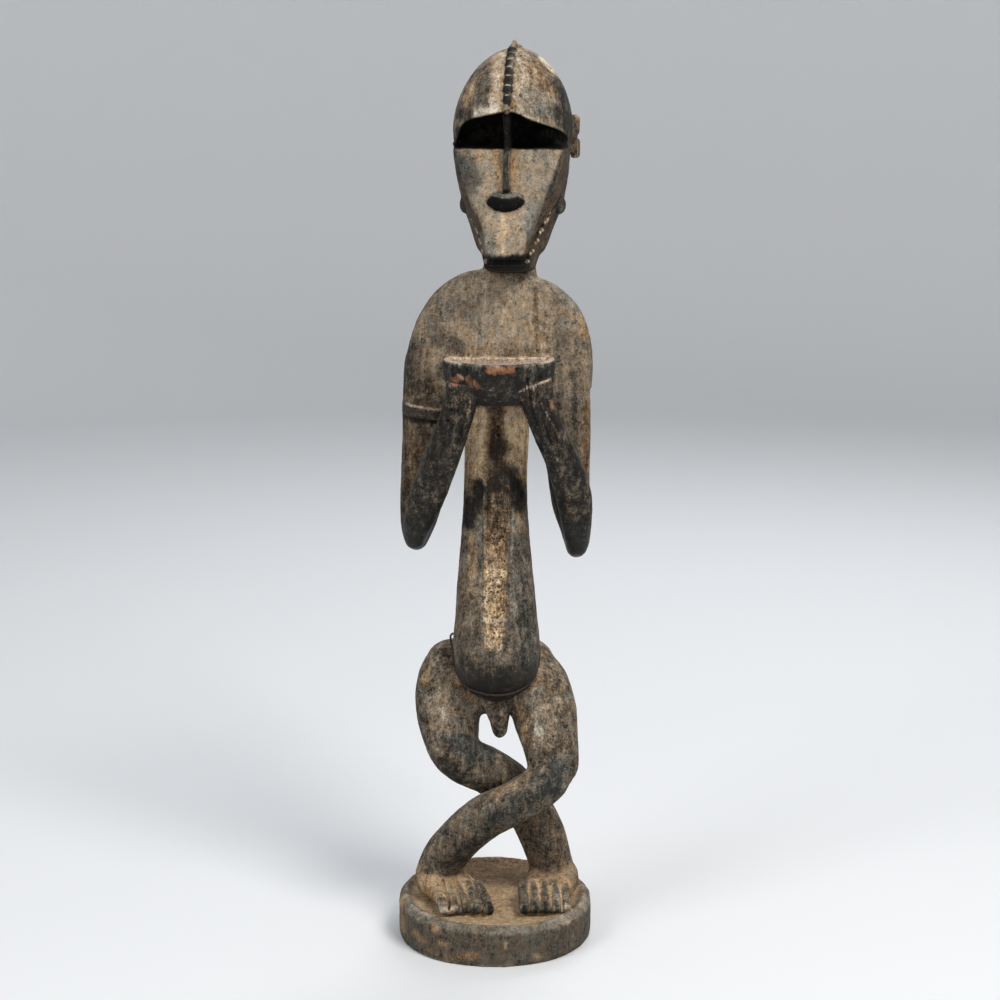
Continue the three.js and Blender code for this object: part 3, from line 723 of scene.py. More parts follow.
def carvedHead():
    muzzle = keep("muzzle", headForm(muzzleMesh()))
    keep("jaw", common(muzzle, headForm(slab([(-60, 500), (60, 500), (60, 545.5), (-60, 545.5)], -90, -20))))
    carved = cut(join(carvedSkull(), muzzle, soft=1.2), eyeHollow(), soft=1.2)
    carved = cut(carved, mouthSlit(), soft=0.5)
    bridge, nostrils, lip, eyes = carvedNose()
    carved = join(carved, *eyes, soft=3)
    carved = join(carved, bridge, lip, soft=1.6)
    carved = join(carved, nostrils, soft=0.8)
    carved = join(carved, *toothForms(), soft=0.3)
    bosses = [keep("bosses", headForm(egg((1.2 + side * 35.2, -9, 579.5), (5.5, 6.5, 7.5))))
              for side in (-1, 1)]
    carved = join(carved, *bosses, soft=1.5)
    carved = join(carved, earForm(1, headSizes["leftEar"]), earForm(-1, headSizes["rightEar"]), soft=1.2)
    beads, beadBand, crown, ridge = crestForms()
    carved = join(carved, beadBand, soft=1.0)
    carved = join(carved, *beads, soft=0.5)
    return join(carved, crown, ridge, soft=1.5)


def carvedFigure():
    figure = join(carvedBase(), carvedFoot(footSizes["left"]), carvedFoot(footSizes["right"]), soft=2.5)
    print("base and feet carved")
    legs = carvedLegs()
    hips, peg = carvedHips()
    figure = join(figure, join(join(legs, hips, soft=7), peg, soft=3), soft=3)
    print("legs and hips carved")
    trunk = join(carvedTrunk(), carvedShoulders(), soft=9)
    figure = join(figure, trunk, soft=2.2)
    arms = ((1, armSizes["leftDrop"]), (-1, 0))
    figure = join(figure, *[join(upperArm(*arm), foreArm(*arm), soft=1.5) for arm in arms], soft=4)
    figure = join(figure, armRing(), soft=1)
    outside, inside = carvedBowl()
    figure = cut(join(figure, outside, soft=1.2), inside, soft=0.8)
    for arm in arms:
        figure = cut(figure, *fingerGrooves(*arm), soft=0.6)
    print("trunk, arms and bowl carved")
    figure = join(figure, carvedHead(), soft=3)
    spine = formOf(swept([[3, 31.5, 505, 2.6, 3], [2, 29.5, 440, 2.6, 3], [1.5, 27, 380, 2.4, 3],
                          [1.2, 24, 310, 2.2, 3], [1.2, 21.5, 262, 1.6, 2.5]], (10, 10), 2))
    figure = cut(figure, spine, soft=2)
    print("head and back carved")
    below = formOf(slab([(-95, -9), (95, -9), (95, 0), (-95, 0)], -95, 95))
    return cut((figure[0], figure[1] + carving["dressing"]), below, soft=0)


# Patterns over points in mm, all repeatable

def hashed(cells, salt):
    # A number from 0 to 1 for each whole-numbered cell, stirred by large factors
    x, y, z = [cells[..., axis].astype(np.int64) for axis in range(3)]
    mixed = (x * 73856093) ^ (y * 19349663) ^ (z * 83492791) ^ (salt * 2654435761 + carving["seed"] * 97)
    mixed = (mixed ^ (mixed >> 13)) * 1274126177
    return ((mixed ^ (mixed >> 16)) & 0xffffff) / float(0xffffff)


def cellCorners(part):
    # The eight corners of a grid's cell, and the weight that each has at a place inside it
    for corner in np.ndindex(2, 2, 2):
        share = np.where(corner, part, 1 - part)
        yield corner, share[:, 0] * share[:, 1] * share[:, 2]


def cloud(points, size, salt):
    # Soft noise from -1 to 1, whose swells are about as wide as the size in mm
    scaled = points / np.asarray(size, float)
    base = np.floor(scaled)
    part = scaled - base
    part = part * part * (3 - 2 * part)
    return sum(weight * hashed(base + corner, salt) for corner, weight in cellCorners(part)) * 2 - 1


def clouds(points, size, salt, layers=3):
    # Layers of soft noise, each half as wide and half as strong as the one before
    total = sum(cloud(points, np.asarray(size, float) / 2 ** layer, salt + layer) / 2 ** layer
                for layer in range(layers))
    return total / (2 - 0.5 ** (layers - 1))


def facets(points, size, salt):
    # How far each point is from the nearest of scattered marks, from 0 at a mark to about 1 between them
    scaled = points / np.asarray(size, float)
    base = np.floor(scaled)
    nearest = np.full(len(points), 9.0)
    for step in np.ndindex(3, 3, 3):
        cell = base + step - 1
        mark = cell + np.stack([hashed(cell, salt + axis) for axis in range(3)], -1)
        nearest = np.minimum(nearest, ((scaled - mark) ** 2).sum(1))
    return np.sqrt(nearest)


def ramp(value, start, end):
    share = np.clip((value - start) / (end - start), 0, 1)
    return share * share * (3 - 2 * share)


def streak(points, start, end, width, salt=50):
    # One along a line on the carving's front or back and nothing outside it, with a ragged edge
    start, end = np.array(start, float), np.array(end, float)
    along = end - start
    flat = np.array([1, 0, 1])
    share = np.clip(((points - start) * flat) @ along / max((along * flat) @ along, 1e-6), 0, 1)
    away = points - start - share[:, None] * along
    deep = np.maximum(np.abs(away[:, 1]) - 12, 0) * 0.6
    distance = np.sqrt(away[:, 0] ** 2 + away[:, 2] ** 2 + deep ** 2)
    return 1 - ramp(distance / width + 0.5 * clouds(points, max(2.0, min(width, 9)), salt), 0.3, 1.4)


def rawStrip(points):
    # The worn front of the belly, broad at the top, with a ragged outline
    x, y, z = points.T
    middle, half = -0.9 + (z - 244) * 0.027, 7.4 + (z - 244) * 0.024
    inside = 1 - ramp(np.abs(x - middle) - half + 2.6 * clouds(points, 7, 95), -1.6, 1.0)
    return inside * ramp(z + 3 * clouds(points, 5, 97), 241, 247) * (1 - ramp(z, 346, 366)) * ramp(-y, 10, 18)


# The skin of the carved form, its tool marks and its patina

def skinOf(form):
    corner, values = form
    reach = 3 * voxel
    grid = vdb.FloatGrid(reach)
    grid.copyFromArray(np.clip(values, -reach, reach), ijk=(0, 0, 0))
    points, quads = grid.convertToQuads(isovalue=0.0)
    return (points + corner) * voxel, quads


def readAt(values, corner, points, step=1):
    # The value at points in mm, of a grid that keeps every so many voxels
    place = (points / voxel - corner) / step
    place = np.clip(place, 0, np.array(values.shape) - 1.001)
    base = np.floor(place).astype(int)
    return sum(weight * values[tuple((base + corner).T)] for corner, weight in cellCorners(place - base))


def slopeAt(values, corner, points):
    # The outward direction at points in mm
    parts = []
    for axis in range(3):
        step = np.zeros(3)
        step[axis] = voxel * 0.8
        parts.append(readAt(values, corner, points + step) - readAt(values, corner, points - step))
    slope = np.stack(parts, 1)
    return slope / (np.linalg.norm(slope, axis=1, keepdims=True) + 1e-9)


def blurred(values, radius):
    # The mean over a cube about each voxel, twice
    width = 2 * radius + 1
    for _ in range(2):
        for axis in range(3):
            padding = [(0, 0)] * 3
            padding[axis] = (radius + 1, radius)
            sums = np.cumsum(np.pad(values, padding, mode="edge"), axis=axis, dtype=np.float32)
            upper = np.take(sums, range(width, sums.shape[axis]), axis=axis)
            lower = np.take(sums, range(0, sums.shape[axis] - width), axis=axis)
            values = (upper - lower) / width
    return values


def crowding(form, radius, points):
    # How much wood stands round each point: 0.5 on a flat, more in a hollow, less on an edge
    step = 2   # every second voxel is enough for this
    small = np.clip(0.5 - form[1][::step, ::step, ::step] / (2 * voxel * step), 0, 1).astype(np.float32)
    cells = max(1, int(round(radius / (voxel * step) * 0.7)))
    return readAt(blurred(small, cells), form[0], points, step)


def near(points, name, reach):
    # One on the named form's own surface, and nothing from the reach in mm away from it
    corner, values = forms[name]
    return 1 - ramp(readAt(values, corner, points), 0.25, 0.25 + reach)


def unplaced(points):
    # Points in the head's own upright frame
    c, s = math.cos(headTurn), math.sin(headTurn)
    x, y = points[:, 0] - headSizes["middle"], points[:, 1] - headSizes["back"]
    return np.stack([x * c + y * s, y * c - x * s, points[:, 2]], 1)


figureForm = carvedFigure()
points, quads = skinOf(figureForm)
print("skin of", len(quads), "faces")


# Marks of the knife and of the years: the size of one in mm, and how deep or high it is in mm
markSizes = {
    "scoops": ((9, 9, 15), 0.34),
    "smallCuts": ((4.2, 4.2, 7), 0.16),
    "longCuts": ((10, 14, 46), 0.45),        # on the legs and forearms
    "swells": ((24, 24, 36), 0.35),
    "grain": (2.4, 0.13),
    "wornStrip": ((2.4, 2.4, 3.2), 0.75),
    "bowlFront": (3.4, 0.35),
    "baseRim": ((13, 13, 9), 0.9),
    "baseSide": ((16, 16, 8), 0.5),
    "insteps": (4, 0.35),
}


def toolMarks(points, outward):
    # How far the knife, the years and the dirt move each point, in mm
    m = markSizes
    head = unplaced(points)
    onFace = near(points, "muzzle", 1.5) * ramp(-head[:, 1], 8, 30)
    fineForms = ("beads", "teeth", "toes", "fingerGrooves", "nostrils", "ring")
    fine = np.maximum.reduce([near(points, name, 1.2) for name in fineForms])
    plain = (1 - 0.8 * onFace) * (1 - 0.85 * fine)
    scoops, small, long = [m[name][1] * (facets(points, m[name][0], salt) ** 2 - mean) for name, salt, mean in (
        ("scoops", 11, 0.3), ("smallCuts", 21, 0.3), ("longCuts", 16, 0.35))]
    onLegs = ramp(points[:, 2], 45, 55) * (1 - ramp(points[:, 2], 190, 205))
    limbs = np.maximum(near(points, "forearms", 2), onLegs)
    swells = m["swells"][1] * clouds(points, m["swells"][0], 31)
    move = plain * (scoops + small + swells + long * limbs)
    move = move + m["grain"][1] * clouds(points, m["grain"][0], 41, 2) * (1 - 0.5 * fine)
    raw = rawStrip(points) * ramp(-outward[:, 1], 0.3, 0.6)
    eaten = ramp(clouds(points, m["wornStrip"][0], 61, 2), -0.1, 0.6)
    move = move - raw * (m["wornStrip"][1] * eaten + 0.3)
    bowlFront = near(points, "bowl", 1.2) * (1 - ramp(points[:, 2], 462, 464))
    move = move + bowlFront * m["bowlFront"][1] * clouds(points, m["bowlFront"][0], 66, 2)
    onBase = near(points, "base", 1.5)
    rim = ramp(points[:, 2], 20, 27) * (1 - ramp(points[:, 2], 34, 37)) * onBase
    move = move + rim * m["baseRim"][1] * clouds(points, m["baseRim"][0], 71)
    side = onBase * (1 - ramp(points[:, 2], 20, 26))
    move = move + side * m["baseSide"][1] * clouds(points, m["baseSide"][0], 76)
    return move + near(points, "insteps", 2) * m["insteps"][1] * clouds(points, m["insteps"][0], 81, 2)


# Insect holes and small chips: place, radius and depth in mm
wearSizes = {
    "holes": [((2.5, -20, 412), 1.3, 2.2), ((2.6, -20, 406), 1.0, 1.8), ((-31.9, -52, 431), 1.2, 2.0),
              ((-34.9, -50, 422), 1.1, 1.8), ((-30, -54, 437), 0.8, 1.2), ((1.0, -44, 268), 1.4, 2.0),
              ((3.0, -40, 291), 1.6, 2.0), ((-4.0, -38, 309), 1.5, 1.8), ((-28.6, -62, 455), 3.0, 1.6)],
    "throughSkin": 14,     # mm in front of or behind a hole's place, so that it misses the back
}


def holes(points):
    # How deep the holes go at each point, in mm
    dug = np.zeros(len(points))
    for place, radius, depth in wearSizes["holes"]:
        away = np.sqrt(((points[:, [0, 2]] - np.array([place[0], place[2]])) ** 2).sum(1))
        facing = np.abs(points[:, 1] - place[1]) < wearSizes["throughSkin"]
        dug = np.maximum(dug, depth * (1 - ramp(away, radius * 0.5, radius * 1.3)) * facing)
    return dug


outward = slopeAt(figureForm[1], figureForm[0], points)
points = points + outward * (toolMarks(points, outward) - holes(points))[:, None]
points[:, 2] = np.maximum(points[:, 2], 0)
print("tool marks cut")


def meshFrom(name, points, faces):
    # A mesh in metres from points in mm and faces of one size
    mesh = bpy.data.meshes.new(name)
    count, corners = faces.shape
    mesh.vertices.add(len(points))
    mesh.vertices.foreach_set("co", (points * mm).astype(np.float32).ravel())
    mesh.loops.add(count * corners)
    mesh.loops.foreach_set("vertex_index", faces.astype(np.int32).ravel())
    mesh.polygons.add(count)
    mesh.polygons.foreach_set("loop_start", np.arange(0, count * corners, corners, dtype=np.int32))
    mesh.update(calc_edges=True)
    mesh.validate()
    mesh.polygons.foreach_set("use_smooth", np.ones(len(mesh.polygons), bool))
    return mesh


def meshOf(name, points, faces):
    # The same from faces of mixed sizes
    mesh = bpy.data.meshes.new(name)
    mesh.from_pydata([tuple(point * mm) for point in points], [], faces)
    mesh.polygons.foreach_set("use_smooth", np.ones(len(mesh.polygons), bool))
    return mesh


def pointsOf(mesh):
    out = np.empty(len(mesh.vertices) * 3, np.float32)
    mesh.vertices.foreach_get("co", out)
    return out.reshape(-1, 3).astype(float) / mm


dense = intoScene("denseSkin", meshFrom("denseSkin", points, quads[:, ::-1]))
fewer = dense.modifiers.new("fewerFaces", "DECIMATE")
fewer.ratio = min(1.0, carving["faces"] / (2.0 * len(quads)))
fewer.use_collapse_triangulate = True
evaluated = dense.evaluated_get(bpy.context.evaluated_depsgraph_get())
woodMesh = bpy.data.meshes.new_from_object(evaluated)
bpy.data.objects.remove(dense)
woodMesh.name = "figureWood"
figure = intoScene("figure_wood", woodMesh)
print("skin thinned to", len(woodMesh.polygons), "faces")


# Where the wood is bare, smoked, dusty or worn, and where shade and highlights are painted on it

points = pointsOf(woodMesh)
outward = slopeAt(figureForm[1], figureForm[0], points)
head = unplaced(points)
patinaSizes = {
    "narrowHollow": 3.0,     # mm, how far round a point the wood is looked at for narrow hollows
    "wideHollow": 11.0,
    "edgeLight": 0.26,       # how much lighter rubbed edges are
    "topDustUnderShade": 0.10,      # how much lighter the sides that face up are with dust, and how much darker those that face down are, as painted shade
    "stripLight": 0.72,
    "stripWarmth": 0.85,
    "grit": 0.64,            # share of the grit on plain wood
    "gritDrift": 0.2,
}
crowdSmall = crowding(figureForm, patinaSizes["narrowHollow"], points)
crowdLarge = crowding(figureForm, patinaSizes["wideHollow"], points)


# How light, how warm and how shiny the patina is, from 0 to 1, on each part and in each stain; a few parts are
# painted shade or painted highlights
patinaLooks = {
    "general": (0.46, 0.42, 0.1),
    "base": (0.40, 0.35, 0.2),
    "baseTop": (0.68, 0.85, 0.0),
    "baseRim": (0.50, 0.25, 0.2),
    "baseBack": (0.44, 0.8, 0.1),
    "insteps": (0.70, 0.85, 0.0),
    "toeTops": (0.31, 0.3, 0.2),
    "toeNails": (0.08, 0.3, 0.4),
    "ankles": (0.52, 0.8, 0.0),
    "peg": (0.34, 0.45, 0.2),
    "column": (0.43, 0.42, 0.3),
    "columnLeft": (0.38, 0.25, 0.4),
    "bellyUnder": (0.09, 0.5, 0.7),
    # Light tan wood on the upper trunk, partly painted light from the side lamps
    "columnSidesTanAndLit": (0.88, 0.9, 0.1),
    "shoulders": (0.66, 0.5, 0.1),
    "shoulderEnds": (0.53, 0.45, 0.15),
    "rightUpperArm": (0.37, 0.65, 0.3),
    "leftUpperArm": (0.57, 0.45, 0.2),
    "forearms": (0.22, 0.35, 0.5),
    "elbows": (0.09, 0.2, 0.8),
    "handFronts": (0.16, 0.4, 0.5),
    "fingerGrooves": (0.34, 0.3, 0.3),
    "bowl": (0.14, 0.35, 0.6),
    # Painted sheen: a cool grey band on the bowl's rounded upper edge
    "bowlEdgeSheen": (0.22, 0.0, 0.3),
    "bowlBack": (0.62, 0.6, 0.1),
    "ring": (0.26, 0.45, 0.5),
    # Painted highlight on the upward top of the arm ring
    "ringTopHighlight": (0.66, 0.5, 0.2),
    "skull": (0.50, 0.45, 0.3),
    "bandSide": (0.63, 0.55, 0.1),
    "beads": (0.15, 0.2, 0.5),
    "beadTops": (0.74, 0.35, 0.2),
    "muzzleSide": (0.34, 0.7, 0.2),
    "face": (0.63, 0.46, 0.2),
    "faceEdge": (0.24, 0.3, 0.2),
    # Painted shade: the eye hollow under the brow is painted black
    "hollow": (0.0, 0.3, 0.0),
    # Painted shade under the brow, a dark brown band above the black of the hollow
    "shadedBrowUnder": (0.14, 0.6, 0.2),
    "bridge": (0.22, 0.1, 0.4),
    # Painted shade: the bridge where it runs up into the shaded eye hollow
    "shadedBridgeTop": (0.02, 0.1, 0.1),
    "nostrils": (0.0, 0.1, 0.1),
    # Painted highlight on the upward tops of the nostrils
    "nostrilTopHighlights": (0.50, 0.1, 0.6),
    # Painted highlight: the ridge under the nose, lighter where it faces forward
    "lip": (0.72, 0.7, 0.1),
    "jaw": (0.0, 0.2, 0.15),
    "bosses": (0.22, 0.3, 0.5),
    "teeth": (0.50, 0.8, 0.2),
    "ears": (0.40, 0.6, 0.2),
}


def by(name, reach):
    # How near the thinned skin's points are to a kept form
    return near(points, name, reach)


def partMasks():
    # How much of each look every point takes, each laid over the ones before it
    x, y, z = points.T
    forward, upward = -outward[:, 1], outward[:, 2]
    column, base, muzzle = by("column", 1.5), by("base", 1.2), by("muzzle", 1.2)
    bowl, ring, skull, beads = by("bowl", 1.2), by("ring", 0.8), by("skull", 1.5), by("beads", 0.5)
    hollow, nostrils, forearms = by("hollow", 1.0), by("nostrils", 0.7), by("forearms", 1.2)
    shoulders = by("shoulders", 1.5) * ramp(z, 425, 450)
    edgeOut = np.abs(head[:, 0]) - (43.8 - (623 - head[:, 2]) * 0.34)
    facePlane = muzzle * ramp(forward, 0.4, 0.7) * ramp(z, 541.5, 544)
    rimward = np.hypot(x / baseSizes["halfWidth"], y / baseSizes["halfDepth"]) + 0.06 * clouds(points, 12, 91)
    handFront = forearms * ramp(z, 405, 420)
    # Painted shade in the eye hollow, away from the skull's own surface
    shadedDeepHollow = ramp(z, 622, 625) * by("hollow", 4.0) * (1 - by("skull", 0.6))
    middleBand = 1 - ramp(np.abs(head[:, 0] - 1.5), 8, 14)
    behindBowl = ramp(y, -27, -23) * (1 - ramp(np.abs(x - bowlSizes["centre"][0]), 38, 44))
    return {
        "general": np.ones(len(points)),
        "base": base,
        "baseTop": base * ramp(upward, 0.35, 0.75) * (1 - ramp(rimward, 0.85, 0.93)),
        "baseRim": base * ramp(upward, 0.2, 0.55) * ramp(rimward, 0.84, 0.92) * ramp(-y, -10, 20),
        "baseBack": base * ramp(y, 10, 40),
        "insteps": by("insteps", 2.5),
        "toeTops": alongToes(-0.15, 0.56),
        "toeNails": alongToes(0.66, 0.96),
        "ankles": ramp(z, 34, 40) * (1 - ramp(z, 52, 66)) * (np.abs(x) > 20) * ramp(y, -18, -12),
        "peg": by("peg", 1),
        "column": column,
        "columnLeft": column * ramp(x, 8, 18) * (1 - ramp(z, 330, 350)),
        "bellyUnder": column * (1 - ramp(z + 4 * clouds(points, 9, 92), 214, 240)),
        # The upper trunk: tan wood, partly painted light from the side lamps
        "columnSidesTanAndLit": column * ramp(z, 352, 376),
        "shoulders": shoulders,
        "shoulderEnds": shoulders * ramp(np.abs(x - 2), 24, 50),
        "rightUpperArm": ramp(-x, 44, 52) * ramp(z, 320, 350) * (1 - ramp(z, 440, 480)),
        "leftUpperArm": ramp(x, 46, 54) * ramp(z, 320, 350) * (1 - ramp(z, 440, 480)),
        "forearms": forearms,
        "elbows": ramp(np.abs(x), 30, 40) * (1 - ramp(z + 6 * clouds(points, 12, 93), 320, 350)) * ramp(z, 290, 300),
        "bowl": bowl,
        # Painted sheen round the bowl's upper edge
        "bowlEdgeSheen": bowl * ramp(z + 0.8 * clouds(points, 5, 96), 460.5, 462),
        "bowlBack": behindBowl * ramp(z, 462, 464) * (1 - ramp(z, 470, 474)),
        "handFronts": handFront,
        "fingerGrooves": by("fingerGrooves", 1.2) * handFront * ramp(clouds(points, (5, 5, 9), 94), -0.3, 0.3),
        "ring": ring,
        # Painted highlight where the ring faces up
        "ringTopHighlight": ring * ramp(upward, 0.2, 0.5),
        "skull": skull,
        "bandSide": skull * middleBand * ramp(z, 648, 654) * ramp(-y, -5, 5),
        "muzzleSide": muzzle,
        "face": facePlane,
        "faceEdge": facePlane * ramp(edgeOut, -4, -1.5),
        # Painted shade over the eye hollow and its depths
        "hollow": np.maximum(hollow, shadedDeepHollow),
        # Painted shade on the brow's underside
        "shadedBrowUnder": hollow * ramp(-head[:, 1], 27, 37) * ramp(z, 625, 630),
        "bridge": by("bridge", 0.6) * ramp(forward, 0.2, 0.6),
        # Painted shade on the upper bridge, inside the eye hollow
        "shadedBridgeTop": by("bridge", 0.8) * ramp(z, 617, 626),
        "nostrils": nostrils,
        # Painted highlight where the nostrils face up
        "nostrilTopHighlights": nostrils * ramp(upward, 0.25, 0.6),
        # Painted highlight on the front of the ridge under the nose
        "lip": by("lip", 0.5) * ramp(forward, 0.5, 0.8),
        "jaw": by("jaw", 1.0) * ramp(forward, -0.2, 0.2) * ramp(-head[:, 1] + 4 * clouds(points, 7, 89), 30, 50),
        "bosses": by("bosses", 1),
        "teeth": by("teeth", 0.6),
        "ears": by("ears", 1),
        "beads": beads,
        "beadTops": beads * ramp(upward, 0.62, 0.82) * (1 - ramp(z, 688, 694)),
    }


